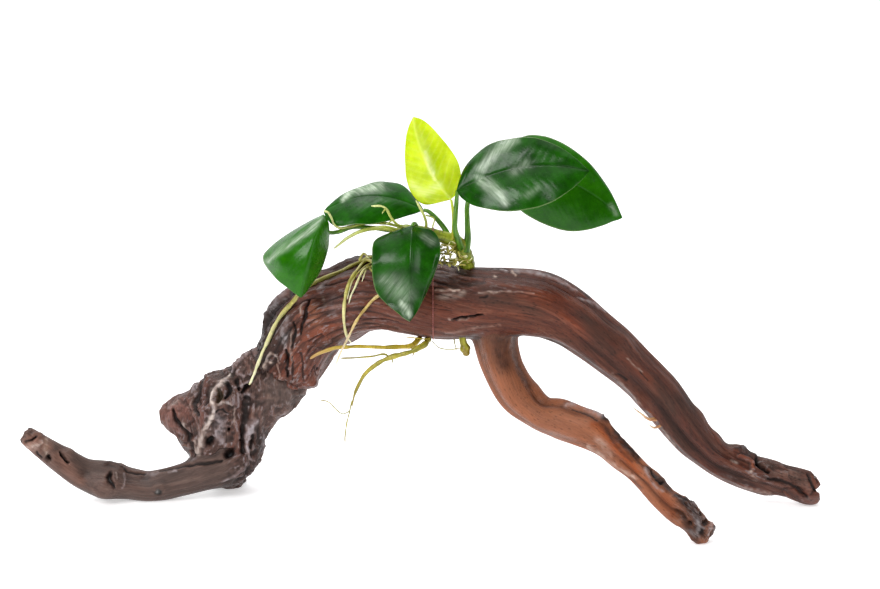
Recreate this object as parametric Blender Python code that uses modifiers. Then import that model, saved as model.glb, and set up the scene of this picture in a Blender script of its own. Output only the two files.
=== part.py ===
"""Anubias on driftwood: a small water plant tied to an arched piece of wood that stands on four feet.

The wood is one grown piece, split at its main forks into the arch, the burl, the left arm and the
front leg. The plant is a creeping rhizome with six leaves on stalks and a dozen roots.
Lengths are written in millimetres, and MM turns them to metres. +X runs along the wood to its forked
tip, -Y is the front and +Z is up. The origin is on the ground under the middle of the whole thing.
"""
import math

import bmesh
import bpy
import numpy as np
from mathutils import Vector
from mathutils.bvhtree import BVHTree
from mathutils.geometry import convex_hull_2d
from mathutils.noise import noise

MM = 0.001
GAP = 0.4                 # clear space between pieces that touch in life
BLADE_THICKNESS = 0.9
WIDEST = 0.42             # how far along a leaf its widest place is
ROOT_LIFT = 0.2           # how much further than GAP a root lies off the wood
THREAD_RADIUS = 0.35
THREAD_AT = 4.6           # x where the thread goes round the wood and over the rhizome
THREAD_LIFT = 0.4         # how much further than GAP the thread runs off the wood
THREAD_STEP = 1.0         # shortest straight stretch of the thread
BURL_VOXEL = 2.2          # grain of the mesh in which the burl's limbs grow together
BURL_KEPT = 0.3           # share of that mesh's faces that is kept
TORN_ARCH = 2.6           # how far the arch's torn ends stand out
TORN_LIMB = 1.2
TORN_PRONG = 0.8
MIDDLE_OF_DEPTH = -2.0    # depth, as read below, that becomes y = 0
GROUND = ((-0.3, -0.3, -0.05), (0.3, 0.3, 0))    # the box that cuts the feet flat, in metres

# Each row is a station on a limb's centre line: x, depth, height and radius.
ARCH = [
    (-56.5, 22.5, 53.5, 14.6), (-53.4, 22, 59, 15.5), (-48.2, 21, 70.8, 17.1), (-41.5, 20, 77.9, 17),
    (-33.5, 18.5, 82.5, 16), (-24.5, 17.5, 86.1, 16.3), (-13, 16.5, 86.8, 15.7), (3.3, 15, 84.9, 15.7),
    (19.6, 14, 83.4, 14.4), (35.5, 13, 83.4, 12.6), (48.5, 12.5, 82, 12.1), (59.5, 12, 77.2, 10.8),
    (68.9, 11.5, 70.6, 9.9), (78.4, 11, 63, 9.3), (87.9, 10.5, 54.8, 8.6), (97.5, 10, 45, 8.5),
    (105.9, 9, 34, 7.8), (113.5, 8, 25.2, 7.3), (121.5, 7.5, 18.6, 6.8), (131.4, 7, 14.5, 6.8),
    (141.4, 6.5, 11, 6.6), (147, 6, 9.3, 5.6), (151, 6, 8.4, 4),
]
UPPER_PRONG = [(140, 6.8, 12.5, 4.6), (150, 6.5, 11.4, 3.9), (158, 6, 9.6, 3), (163.5, 5.5, 6.6, 1.6)]
LOWER_PRONG = [(142, 6, 7.6, 4.8), (150, 5.5, 5.2, 4.2), (158, 5, 3.2, 3.4), (163, 4.5, 2.4, 1.8)]
FRONT_LEG = [
    (29, 13, 80, 8.6), (29.8, 12, 74.5, 8.6), (30.2, 9, 66.9, 8.5), (33, 5, 57.9, 7.7), (39, 0, 48.4, 7.5),
    (47.3, -6, 43, 7), (55.9, -11, 41.2, 7.1), (64.7, -17, 39, 6.6), (74, -22, 34, 6),
    (82, -27, 28.1, 5.3), (89.2, -31, 22.4, 4.6), (95.4, -34, 16.5, 4.7), (103.8, -37, 11, 5.9),
    (109, -39, 6, 5.9), (112, -39.5, 2.5, 5.2),
]
LEFT_ARM = [
    (-162.5, 5.5, 29.3, 2.2), (-160.3, 6, 27.7, 3.9), (-154.6, 7, 22.7, 4.7), (-147.6, 8, 17.1, 5.6),
    (-140.2, 9, 11.6, 6.2), (-131.3, 10, 8.6, 7.2), (-121.1, 10.5, 6.6, 6), (-111.7, 11, 5.4, 5.9),
    (-99.3, 12, 7.9, 6), (-87.7, 13, 11.5, 6.6), (-77.8, 15, 15.7, 7.6), (-71, 19, 20, 6.5),
]
# The burl is grown together from these limbs.
BURL_NECK = [(-54, 22, 60, 9), (-58.5, 22, 47.5, 10.8), (-67.5, 22, 38, 9.8), (-76.6, 22, 28.7, 10.4)]
BURL_SHOULDER = [(-66, 23, 55, 6.5), (-78.5, 23, 43, 9), (-88, 23.5, 38.5, 8.8), (-91, 22, 29, 8.6)]
BURL_KNOB = [(-86, 23, 33, 7), (-97, 23, 34, 7.6), (-104, 23, 32.5, 6.2), (-109, 23, 31.6, 3)]
BURL_FRONT = [(-98, 22, 30, 6.6), (-92, 20, 21, 7), (-84, 19, 13, 7.2)]
BURL_FOOT = [(-80, 22, 30, 9), (-77.5, 21, 17, 8.8), (-79.5, 23, 8, 7.6), (-80, 24, -2, 7.2)]
BURL_RIDGE = [
    (-78, 14.5, 43, 3), (-88, 13.5, 37, 3.4), (-90.5, 13.5, 29, 3), (-87, 14.5, 18, 3),
    (-83, 16, 10, 3),
]
BURL_BACK = [(-70, 28, 43, 6), (-81, 32, 28, 6.4), (-81, 31, 12, 5.4), (-82, 31, -1, 4.4)]
# Holes rotted into the burl's front: x, depth, height and radius.
BURL_HOLES = [(-88.5, 10.5, 23, 2.6), (-81.5, 11, 18.5, 3.2), (-80.5, 12.5, 29, 2.2)]

# Knobs on a limb: share of its length, angle round it in degrees, width and height in millimetres.
# The angle is 0 at the front, 90 on the outer side of the bend, 180 at the back and -90 inside it.
ARCH_KNOBS = [
    (0.02, -35, 11, 3.2), (0.05, 150, 16, 2.6), (0.16, 95, 15, -1.6), (0.22, 70, 14, 1.5),
    (0.36, 105, 13, 1.3), (0.47, -60, 18, 1.2), (0.52, 90, 16, -1.0), (0.62, 60, 12, 1.4),
    (0.72, -50, 9, 1.5), (0.8, 110, 10, 1.2), (0.9, 80, 8, 2.4), (0.95, 60, 6, 1.6),
    (0.93, 5, 6, -2.2),
]
LEG_KNOBS = [
    (0.3, 150, 10, 1.6), (0.42, 60, 12, 1.4), (0.62, 80, 11, 3.0), (0.7, 20, 10, -1.6), (0.78, 100, 8, 1.4),
    (0.9, 0, 7, -2.0), (0.93, 95, 7, 1.8), (0.5, -80, 12, 1.2),
]
ARM_KNOBS = [
    (0.12, 40, 6, 1.2), (0.2, 75, 5, 1.3), (0.3, 20, 7, -1.3), (0.4, -20, 10, 1.6), (0.45, 90, 6, 1.3),
    (0.56, 80, 7, -1.2), (0.62, 10, 5, 1.2), (0.8, 60, 9, 1.2),
]

RHIZOME = [
    (18.4, 12, 96, 2.7), (18.2, 12, 100, 2.9), (16.7, 11, 105.2, 3), (13.4, 10.5, 109.3, 2.9),
    (7.4, 10, 112, 2.3), (1, 10, 113.6, 2.3), (-5.5, 10, 114.5, 2.2), (-9.8, 10, 114.6, 1.9),
]

# A leaf is held by five points: where its stalk ends, the midrib's middle, the tip and the two margins.
# crown lifts the blade between midrib and margin, and wave ripples its margin.
LEAVES = {
    "left": dict(
        base=(-38.9, 3, 121.8), middle=(-43.2, -6, 112), tip=(-47.7, -8, 91.2), left=(-63.6, 5, 102.4),
        right=(-37, 4.5, 110.4), crown=3.0, wave=0.6, colour=(0.03, 0.16, 0.02),
    ),
    "back_left": dict(
        base=(0.5, 15, 121.7), middle=(-17, 17, 126.8), tip=(-39.5, 17, 120.6), left=(-19.5, 6, 117),
        right=(-15.5, 28, 131), crown=0.8, wave=0.5, colour=(0.02, 0.12, 0.02),
    ),
    "front": dict(
        base=(-3.6, 3.5, 117.4), middle=(-4, -6.5, 109), tip=(-4.5, -9.5, 82.2),
        left=(-19.6, -2, 104.6), right=(7.8, -3, 107.4), crown=1.2, wave=0.5,
        colour=(0.02, 0.13, 0.02),
    ),
    "young": dict(
        base=(11.8, 12, 126.8), middle=(3.2, 9, 139.8), tip=(-3.3, 12, 160), left=(-7.1, 10, 135.6),
        right=(13.6, 13, 144), crown=-0.8, wave=0.4, colour=(0.55, 0.7, 0.03),
    ),
    "right": dict(
        base=(14.2, 5.5, 131.5), middle=(36.5, 1.5, 141), tip=(66, -3, 140.9), left=(33.5, 9, 151.8),
        right=(36, -8, 125.8), crown=1.2, wave=0.7, colour=(0.03, 0.17, 0.02),
    ),
    "back_right": dict(
        base=(29.6, 20, 139.2), middle=(53.5, 20, 134.5), tip=(81, 16, 118.2), left=(58, 27, 146.5),
        right=(50, 17, 115.5), crown=1.2, wave=0.6, colour=(0.02, 0.14, 0.02),
    ),
}
# Each stalk runs from inside the rhizome to its leaf's base, with its radius at both ends. short is how
# much sooner it ends where the two halves of its blade fold together round it.
STALKS = {
    "left": dict(
        points=[
            (-8, 11.6, 113.8), (-12, 12.2, 113.8), (-19.9, 12.4, 114.9), (-27.7, 11.5, 115.4),
            (-33.3, 10, 113.8), (-37.4, 8.8, 113.8), (-40, 8, 116), (-39.9, 6.6, 119),
        ],
        radii=(0.9, 0.7), short=1.4,
    ),
    "back_left": dict(
        points=[(10.4, 11, 111.5), (9.8, 11.6, 113.8), (6.6, 13.2, 117.8), (3, 14.6, 121)],
        radii=(1.1, 0.8),
    ),
    "front": dict(
        points=[(-1.5, 9.5, 114.8), (-2.4, 7.5, 117.4), (-3.2, 5.5, 118)], radii=(0.9, 0.75),
    ),
    "young": dict(
        points=[(12.4, 9.4, 109.4), (12.6, 8.6, 113), (12.8, 9.8, 118), (12.6, 11, 122)],
        radii=(0.7, 0.55),
    ),
    "right": dict(
        points=[
            (15.6, 10.5, 107), (14.4, 6.8, 112), (13.4, 5.8, 116), (13.6, 6.2, 121), (14, 7.6, 126.6),
        ],
        radii=(1.3, 0.9),
    ),
    "back_right": dict(
        points=[
            (17.6, 12, 105), (18.6, 12.8, 110.5), (18.4, 14.4, 117.3), (18.5, 16, 124),
            (21, 17.8, 131.5),
        ],
        radii=(1.5, 0.9),
    ),
}
# A root runs free through its first points, lies on the wood along the next, and ends free.
# It is cut back from the piece named by clear_of, which it grows out of.
ROOTS = {
    "root_over_wood": dict(
        clear_of="rhizome", free=[(-4, 10, 113), (-8, 10, 108.5), (-14, 11, 105.2)],
        lying=[
            (-20.1, 11, 103.3), (-27.9, 6, 100.2), (-34.7, 4, 96.9), (-41.6, 5, 93.8),
            (-46.6, 6, 90.7), (-50.2, 6, 87.8), (-54.8, 6, 82.4), (-59, 7, 75.4), (-62.8, 7, 67),
            (-67, 9, 58), (-69.5, 11, 52.5), (-71, 12, 49.5),
        ],
        tail=[], radii=(0.75, 0.5),
    ),
    "root_down_front": dict(
        clear_of="rhizome", free=[(-2.6, 9.4, 113), (-6.5, 5.5, 108), (-12.6, 4.5, 104.4)],
        lying=[
            (-19.8, 4, 101), (-24.6, 3, 98), (-27.8, 2, 94), (-30.3, 2, 89.2), (-31.4, 2, 83.4),
            (-31, 2, 77.2), (-29.1, 3, 72),
        ],
        tail=[], radii=(0.8, 0.5),
    ),
    "root_fork": dict(
        clear_of="rhizome", free=[(0.2, 9, 112.4), (-3, 3.4, 104.5), (-10, 2, 101.2)],
        lying=[(-18.2, 1, 98), (-23.4, 1, 94.5), (-26.4, 1, 90.5), (-28, 1, 86.5)], tail=[],
        radii=(0.65, 0.45),
    ),
    "root_crossing": dict(
        clear_of="rhizome", free=[(3, 8.8, 112), (2.4, 2.2, 104)],
        lying=[(-3, -2, 98), (-10, -2, 94), (-18.2, 0, 89), (-23.5, 0, 83.5), (-27.6, 1, 77)],
        tail=[(-31, -1.2, 70), (-33.6, -1, 64), (-34.4, -0.5, 61.5)], radii=(0.7, 0.45),
    ),
    "root_air_low": dict(
        clear_of="rhizome",
        free=[
            (-8.5, 9, 114.2), (-14.6, 8, 115.6), (-20.2, 8, 115.6), (-23.9, 8, 114.3),
            (-28.5, 8, 112.3), (-32.6, 8, 109.2), (-35.2, 8, 107.1),
        ],
        lying=[], tail=[], radii=(1.0, 0.55),
    ),
    "root_air_curl": dict(
        clear_of="rhizome",
        free=[
            (-8, 10.6, 115.6), (-14, 10.4, 117), (-22.7, 10, 117), (-28.5, 9.5, 116),
            (-32.4, 9, 115.6), (-35, 9, 117), (-35.9, 9, 119.6), (-37.4, 9, 121.8),
            (-39.4, 9.4, 122.6),
        ],
        lying=[], tail=[], radii=(0.8, 0.5),
    ),
    "root_air_up": dict(
        clear_of="rhizome",
        free=[
            (-6.6, 8.6, 115.4), (-9.6, 5.6, 117.8), (-12.1, 4, 121), (-14.1, 3.6, 124.2),
            (-16.4, 3.6, 125.5), (-20, 3.8, 125.9),
        ],
        lying=[], tail=[], radii=(0.75, 0.5),
    ),
    "root_strand": dict(
        clear_of="rhizome",
        free=[(1.6, 8.8, 114.6), (2, 8, 118), (0.4, 7.6, 122.4), (-2.2, 7.6, 127.2)], lying=[],
        tail=[], radii=(0.5, 0.35),
    ),
    "root_under_long": dict(
        clear_of=None, free=[], lying=[(-0.9, 17, 68.5), (-1.2, 13, 67.8)],
        tail=[
            (-3.4, 8.8, 66.9), (-8.4, 7, 66.8), (-16.7, 6, 66.8), (-27.4, 4.6, 67.4), (-33.9, 3, 67.3),
            (-38.6, 2.2, 66.2), (-42.4, 2.2, 64.8), (-45, 2.4, 63.1),
        ],
        radii=(1.15, 0.7),
    ),
    "root_hanging": dict(
        clear_of=None, free=[], lying=[(2.6, 17, 68), (2.4, 9.5, 68)],
        tail=[
            (1, 4.4, 67.8), (-4, 2.6, 66), (-9, 2.4, 64.6), (-13, 2.6, 63.4), (-17.5, 3, 60.8),
            (-22, 3.4, 57.2), (-25, 3.8, 52.4), (-27.3, 4, 47.6), (-28.6, 4, 42.4),
        ],
        radii=(1.15, 0.4),
    ),
    "root_under_thin": dict(
        clear_of="root_hanging",
        free=[
            (-12.6, 3.6, 62.9), (-15, 6, 63.6), (-19, 7.4, 63), (-24, 7.6, 62.2), (-29, 7, 61.8),
            (-33, 6, 62.2),
        ],
        lying=[], tail=[], radii=(0.6, 0.4),
    ),
    "root_nub": dict(
        clear_of="arch", free=[(16, 8, 73), (16.8, 7.4, 69), (17.8, 7, 65.6), (18.6, 7, 62.9)],
        lying=[], tail=[], radii=(1.5, 1.7),
    ),
}


def place(x, depth, height):
    """A point read in millimetres, in metres in the part's own frame."""
    return Vector((x * MM, (depth - MIDDLE_OF_DEPTH) * MM, height * MM))


def clear_scene():
    for thing in list(bpy.data.objects):
        bpy.data.objects.remove(thing)


def collection(name):
    made = bpy.data.collections.new(name)
    bpy.context.scene.collection.children.link(made)
    return made


def material(name, colour, roughness):
    """A Principled material with the piece's own colour."""
    made = bpy.data.materials.new(name)
    made.use_nodes = True
    shader = made.node_tree.nodes["Principled BSDF"]
    shader.inputs["Base Color"].default_value = (*colour, 1)
    shader.inputs["Roughness"].default_value = roughness
    shader.inputs["Metallic"].default_value = 0
    made.diffuse_color = (*colour, 1)
    return made


def add(name, mesh, group, finish=None):
    """A new object in a collection, shaded smooth, with its material."""
    made = bpy.data.objects.new(name, mesh)
    group.objects.link(made)
    mesh.shade_smooth()
    if finish:
        mesh.materials.clear()
        mesh.materials.append(finish)
    return made


def smooth(stations, per_span):
    """Points on a Catmull-Rom curve through the stations, per_span to each stretch."""
    rows = np.array(stations, float)
    rows = np.vstack([2 * rows[0] - rows[1], rows, 2 * rows[-1] - rows[-2]])
    points = []
    for i in range(1, len(rows) - 2):
        before, start, end, after = rows[i - 1:i + 3]
        for t in np.arange(per_span) / per_span:
            points.append(0.5 * (2 * start + (end - before) * t
                                 + (2 * before - 5 * start + 4 * end - after) * t ** 2
                                 + (3 * start - before - 3 * end + after) * t ** 3))
    points.append(rows[-2])
    return np.array(points)


def tube_mesh(name, points, sides, closed=False):
    """A tube through points of x, y, z and radius in metres, as one welded mesh with filled ends."""
    curve = bpy.data.curves.new(name, "CURVE")
    curve.dimensions = "3D"
    curve.bevel_depth = MM
    curve.bevel_resolution = (sides - 4) // 2
    curve.use_fill_caps = not closed
    spline = curve.splines.new("POLY")
    spline.points.add(len(points) - 1)
    spline.use_cyclic_u = closed
    for spot, (x, y, z, radius) in zip(spline.points, points):
        spot.co = (x, y, z, 1)
        spot.radius = radius / MM
    holder = bpy.data.objects.new(name, curve)
    bpy.context.scene.collection.objects.link(holder)
    seen = holder.evaluated_get(bpy.context.evaluated_depsgraph_get())
    mesh = bpy.data.meshes.new_from_object(seen)
    bpy.data.objects.remove(holder)
    weld(mesh)
    return mesh


def weld(mesh):
    """Merge points that coincide, and turn the faces outwards."""
    shape = bmesh.new()
    shape.from_mesh(mesh)
    bmesh.ops.remove_doubles(shape, verts=shape.verts, dist=0.01 * MM)
    bmesh.ops.recalc_face_normals(shape, faces=shape.faces)
    shape.to_mesh(mesh)
    shape.free()


def limb_path(stations, per_span):
    """A limb's smoothed centre line in metres, with its radius."""
    points = smooth(stations, per_span)
    return np.array([(*place(x, depth, height), radius * MM) for x, depth, height, radius in points])


def weather(mesh, path, flutes, knobs, ragged=0.0):
    """Shape a round limb as old wood: long flutes that wind slowly round it, and knobs and hollows.

    flutes holds count, height, twist per metre and phase of each; ragged is how far its ends are torn."""
    centres = path[:, :3]
    steps = np.diff(centres, axis=0)
    along = np.concatenate([[0], np.cumsum(np.linalg.norm(steps, axis=1))])
    tangents = np.gradient(centres, axis=0)
    tangents /= np.linalg.norm(tangents, axis=1)[:, None]
    for vert in mesh.vertices:
        spot = np.array(vert.co)
        i = int(np.argmin(np.linalg.norm(centres - spot, axis=1)))
        front = np.array((0, -1, 0)) + tangents[i, 1] * tangents[i]
        front /= np.linalg.norm(front)
        outer = np.cross(front, tangents[i])
        away = spot - centres[i]
        angle = math.atan2(away @ outer, away @ front)
        height = sum(size * MM * math.cos(count * angle + twist * along[i] + phase)
                     for count, size, twist, phase in flutes)
        for share, degrees, width, size in knobs:
            turn = (angle - math.radians(degrees) + math.pi) % (2 * math.pi) - math.pi
            near = (along[i] - share * along[-1]) ** 2 + (turn * path[i, 3]) ** 2
            height += size * MM * math.exp(-near / (width * MM / 2) ** 2)
        height *= min(1.0, path[i, 3] / (5 * MM))
        direction = away / max(np.linalg.norm(away), 1e-9)
        moved = spot + direction * height
        if ragged and i in (0, len(path) - 1):
            moved += tangents[i] * ragged * MM * math.sin(3 * angle + 1.0) * math.cos(5 * angle)
        vert.co = moved


def grown(thing, distance, group):
    """A cutter: the thing as it stands, swollen by a distance in millimetres."""
    seen = thing.evaluated_get(bpy.context.evaluated_depsgraph_get())
    cutter = add(thing.name + "_grown", bpy.data.meshes.new_from_object(seen), group)
    swell = cutter.modifiers.new("swell", "DISPLACE")
    swell.strength = distance * MM
    swell.mid_level = 0
    hide(cutter)
    return cutter


def hide(cutter):
    cutter.hide_render = True
    cutter.display_type = "WIRE"


def make_box(name, low, high, group):
    """A cutter in the shape of a box between two corners, in metres."""
    mesh = bpy.data.meshes.new(name)
    shape = bmesh.new()
    bmesh.ops.create_cube(shape, size=1)
    for vert in shape.verts:
        vert.co = [a + (b - a) * (c + 0.5) for a, b, c in zip(low, high, vert.co)]
    shape.to_mesh(mesh)
    shape.free()
    cutter = add(name, mesh, group)
    hide(cutter)
    return cutter


def boolean(thing, other, operation="DIFFERENCE"):
    step = thing.modifiers.new(operation.lower(), "BOOLEAN")
    step.operation = operation
    step.solver = "EXACT"
    step.object = other


def make_arch(group, cutters, ground):
    """The thick arch, whose right end forks into two prongs, one of which rests on the ground."""
    flutes = [(2, 0.7, 14, 0.4), (3, 0.7, -9, 1.1), (5, 1.0, 12, 2.0), (7, 0.8, -7, 0.3)]
    path = limb_path(ARCH, 2)
    mesh = tube_mesh("arch", path, 20)
    weather(mesh, path, flutes, ARCH_KNOBS, ragged=TORN_ARCH)
    finish = material("dark reddish driftwood", (0.11, 0.045, 0.035), 0.4)
    arch = add("driftwood_arch", mesh, group, finish)
    for name, stations in (("upper_prong", UPPER_PRONG), ("lower_prong", LOWER_PRONG)):
        path = limb_path(stations, 2)
        mesh = tube_mesh(name, path, 10)
        weather(mesh, path, [(3, 0.5, 20, 0.6)], [], ragged=TORN_PRONG)
        prong = add(name, mesh, cutters)
        hide(prong)
        boolean(arch, prong, "UNION")
    boolean(arch, ground)
    return arch


def make_burl(group, cutters, cuts):
    """The burl: limbs grown together by a voxel remesh, roughened, thinned out and pitted."""
    shape = bmesh.new()
    for stations in (BURL_NECK, BURL_SHOULDER, BURL_KNOB, BURL_FRONT, BURL_FOOT, BURL_RIDGE, BURL_BACK):
        shape.from_mesh(tube_mesh("burl_limb", limb_path(stations, 3), 16))
    mesh = bpy.data.meshes.new("burl")
    shape.to_mesh(mesh)
    shape.free()
    rough = add("burl_rough", mesh, cutters)
    grow = rough.modifiers.new("grow together", "REMESH")
    grow.mode = "VOXEL"
    grow.voxel_size = BURL_VOXEL * MM
    soften = rough.modifiers.new("soften", "SMOOTH")
    soften.iterations = 6
    seen = rough.evaluated_get(bpy.context.evaluated_depsgraph_get())
    mesh = bpy.data.meshes.new_from_object(seen)
    bpy.data.objects.remove(rough)
    normals = [vert.normal.copy() for vert in mesh.vertices]
    for vert, normal in zip(mesh.vertices, normals):
        spot = vert.co / MM
        lumps = 1.5 * noise(spot / 9) + 0.9 * noise(spot / 4.5 + Vector((7, 3, 1)))
        grooves = 0.9 * math.cos(spot.x * 0.55 - spot.z * 0.35 + 2.2 * noise(spot / 16))
        vert.co += normal * (lumps + grooves) * MM
    burl = add("driftwood_burl", mesh, group, material("grey driftwood", (0.2, 0.14, 0.12), 0.55))
    thin = burl.modifiers.new("thin out", "DECIMATE")
    thin.ratio = BURL_KEPT
    for number, (x, depth, height, radius) in enumerate(BURL_HOLES):
        hole = bmesh.new()
        bmesh.ops.create_uvsphere(hole, u_segments=8, v_segments=6, radius=radius * MM)
        bmesh.ops.translate(hole, verts=hole.verts, vec=place(x, depth, height))
        pit = bpy.data.meshes.new(f"hole_{number}")
        hole.to_mesh(pit)
        hole.free()
        cutter = add(f"hole_{number}", pit, cutters)
        hide(cutter)
        boolean(burl, cutter)
    for cutter in cuts:
        boolean(burl, cutter)
    return burl


def make_limb(name, stations, sides, flutes, knobs, finish, group, cuts):
    """A thinner limb, cut back from the wood that it grows out of."""
    path = limb_path(stations, 2)
    mesh = tube_mesh(name, path, sides)
    weather(mesh, path, flutes, knobs, ragged=TORN_LIMB)
    limb = add(name, mesh, group, finish)
    for cutter in cuts:
        boolean(limb, cutter)
    return limb


def fullness(along):
    """A leaf's half width from stalk to tip, as a share of its widest."""
    return max(0.0, math.sin(math.pi * along ** (math.log(0.5) / math.log(WIDEST)))) ** 0.8


def leaf_spot(leaf, across, along):
    """A point on a leaf's middle surface: across runs from -1 at its left margin to 1, and along from 0
    at its stalk to 1 at its tip."""
    base, middle, tip = (place(*leaf[key]) for key in ("base", "middle", "tip"))
    w = WIDEST
    midrib = (base * (along - w) * (along - 1) / w
              + middle * along * (along - 1) / (w * (w - 1))
              + tip * along * (along - w) / (1 - w))
    side = place(*leaf["left" if across < 0 else "right"]) - middle
    up = (place(*leaf["right"]) - place(*leaf["left"])).cross(tip - base).normalized()
    full = fullness(along)
    ripple = leaf["wave"] * math.sin(9 * along + (2 if across < 0 else 0)) * across ** 2
    lift = leaf["crown"] * (1 - (2 * abs(across) - 1) ** 2)
    return midrib + side * abs(across) * full + up * (lift + ripple) * full * MM


def make_leaf(name, leaf, group):
    """A leaf blade: a grid bent to the leaf's form and given its thickness."""
    shape = bmesh.new()
    bmesh.ops.create_grid(shape, x_segments=6, y_segments=10, size=1)
    for vert in shape.verts:
        vert.co = leaf_spot(leaf, vert.co.x, ((vert.co.y + 1) / 2) ** 1.2)
    mesh = bpy.data.meshes.new(name)
    shape.to_mesh(mesh)
    shape.free()
    weld(mesh)
    blade = add(f"leaf_{name}", mesh, group, material(f"{name} leaf", leaf["colour"], 0.35))
    thicken = blade.modifiers.new("thickness", "SOLIDIFY")
    thicken.thickness = BLADE_THICKNESS * MM
    thicken.offset = 0
    return blade


def make_stalk(name, stalk, leaf, rhizome, group):
    """A leaf stalk: it leaves the rhizome and ends just short of its leaf's base."""
    first, last = stalk["radii"]
    route = [place(*point) for point in stalk["points"]]
    base = place(*leaf["base"])
    arrive = (base - route[-1]).normalized()
    route.append(base - arrive * (BLADE_THICKNESS / 2 + GAP + stalk.get("short", 0)) * MM)
    points = smooth([tuple(point) for point in route], 2)
    radii = np.linspace(first, last, len(points)) * MM
    mesh = tube_mesh(name, np.column_stack([points, radii]), 6)
    made = add(f"stalk_{name}", mesh, group, material(f"{name} stalk", (0.12, 0.3, 0.02), 0.4))
    boolean(made, rhizome)
    return made


def lay(points, radius, wood):
    """The points, moved on to the wood's surface so that a tube of this radius lies on it."""
    laid = []
    for point in points:
        spot, normal, _, _ = wood.find_nearest(point)
        laid.append(spot + normal * (radius + GAP + ROOT_LIFT) * MM)
    return laid


def make_root(name, root, wood, near, group):
    """A root that drops from the rhizome, creeps over the wood and may end in the air."""
    first, last = root["radii"]
    lying = [place(*row) for row in root["lying"]]
    if lying:
        lying = [Vector(row) for row in smooth([tuple(point) for point in lying], 2)]
        lying = lay(lying, first, wood)
    route = [place(*row) for row in root["free"]] + lying + [place(*row) for row in root["tail"]]
    points = smooth([tuple(point) for point in route], 2 if not lying else 1)
    radii = np.linspace(first, last, len(points)) * MM
    mesh = tube_mesh(name, np.column_stack([points, radii]), 6)
    made = add(name, mesh, group, material(name, (0.55, 0.45, 0.1), 0.5))
    if near:
        boolean(made, near)
    return made


def surface(*things):
    """One search tree over the finished surfaces of several pieces."""
    graph = bpy.context.evaluated_depsgraph_get()
    corners, faces = [], []
    for thing in things:
        mesh = thing.evaluated_get(graph).to_mesh()
        faces += [[len(corners) + i for i in face.vertices] for face in mesh.polygons]
        corners += [vert.co.copy() for vert in mesh.vertices]
    return BVHTree.FromPolygons(corners, faces)


def make_thread(wood, group):
    """The thread that ties the plant down: pulled tight round the wood and over the rhizome."""
    hits = []
    for x in (THREAD_AT - THREAD_RADIUS, THREAD_AT, THREAD_AT + THREAD_RADIUS):
        centre = place(x, 15, 86)
        for degrees in range(0, 360, 2):
            angle = math.radians(degrees)
            way = Vector((0, math.cos(angle), math.sin(angle)))
            spot = wood.ray_cast(centre + way * 60 * MM, -way)[0]
            hits.append(Vector((spot.y, spot.z)))
    tight = []
    for spot in [hits[i] for i in convex_hull_2d(hits)]:
        if not tight or (spot - tight[-1]).length > THREAD_STEP * MM:
            tight.append(spot)
    middle = sum(tight, Vector((0, 0))) / len(tight)
    out = (THREAD_RADIUS + GAP + THREAD_LIFT) * MM
    points = []
    for before, spot, after in zip(tight[-1:] + tight[:-1], tight, tight[1:] + tight[:1]):
        run = (spot - before).normalized() + (after - spot).normalized()
        outwards = Vector((run.y, -run.x)).normalized()
        if outwards.dot(spot - middle) < 0:
            outwards.negate()
        spot = spot + outwards * out
        points.append((THREAD_AT * MM, spot.x, spot.y, THREAD_RADIUS * MM))
    mesh = tube_mesh("thread", points, 6, closed=True)
    return add("binding_thread", mesh, group, material("reddish thread", (0.35, 0.08, 0.07), 0.6))


def main():
    clear_scene()
    parts = collection("anubias on driftwood")
    cutters = collection("cutters")
    ground = make_box("ground", *GROUND, cutters)

    arch = make_arch(parts, cutters, ground)
    arch_grown = grown(arch, GAP, cutters)
    flutes = [(2, 0.5, 30, 0.3), (3, 0.5, -25, 1.2)]
    finish = material("taupe driftwood", (0.2, 0.13, 0.1), 0.55)
    arm = make_limb("driftwood_left_arm", LEFT_ARM, 10, flutes, ARM_KNOBS, finish, parts, [ground])
    arm_grown = grown(arm, GAP, cutters)
    burl = make_burl(parts, cutters, [grown(arch, 2 * GAP, cutters), arm_grown, ground])
    flutes = [(2, 0.6, 20, 0.9), (3, 0.9, -16, 0.2), (5, 0.4, 25, 1.0)]
    finish = material("tan driftwood", (0.2, 0.085, 0.045), 0.5)
    leg = make_limb("driftwood_front_leg", FRONT_LEG, 12, flutes, LEG_KNOBS, finish, parts,
                    [arch_grown, ground])

    mesh = tube_mesh("rhizome", limb_path(RHIZOME, 2), 8)
    rhizome = add("rhizome", mesh, parts, material("rhizome", (0.2, 0.28, 0.04), 0.5))
    boolean(rhizome, arch_grown)
    rhizome_grown = grown(rhizome, GAP, cutters)

    for name, leaf in LEAVES.items():
        make_leaf(name, leaf, parts)
        make_stalk(name, STALKS[name], leaf, rhizome_grown, parts)

    wood = surface(arch, burl, leg)
    neighbours = {None: None, "rhizome": rhizome_grown, "arch": arch_grown}
    for name, root in ROOTS.items():
        made = make_root(name, root, wood, neighbours[root["clear_of"]], parts)
        if name == "root_hanging":
            neighbours[name] = grown(made, GAP, cutters)
    make_thread(surface(arch, rhizome), parts)


main()
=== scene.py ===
# %% [markdown]
# # Anubias on driftwood
#
# A small water plant is tied to an arched, branching piece of driftwood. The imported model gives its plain
# solids in their real size and place. This lesson dresses them: the wood gets its grain, cracks and knots,
# the leaves their veins and shine, and the roots their hairs. It starts by loading that model.

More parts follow.
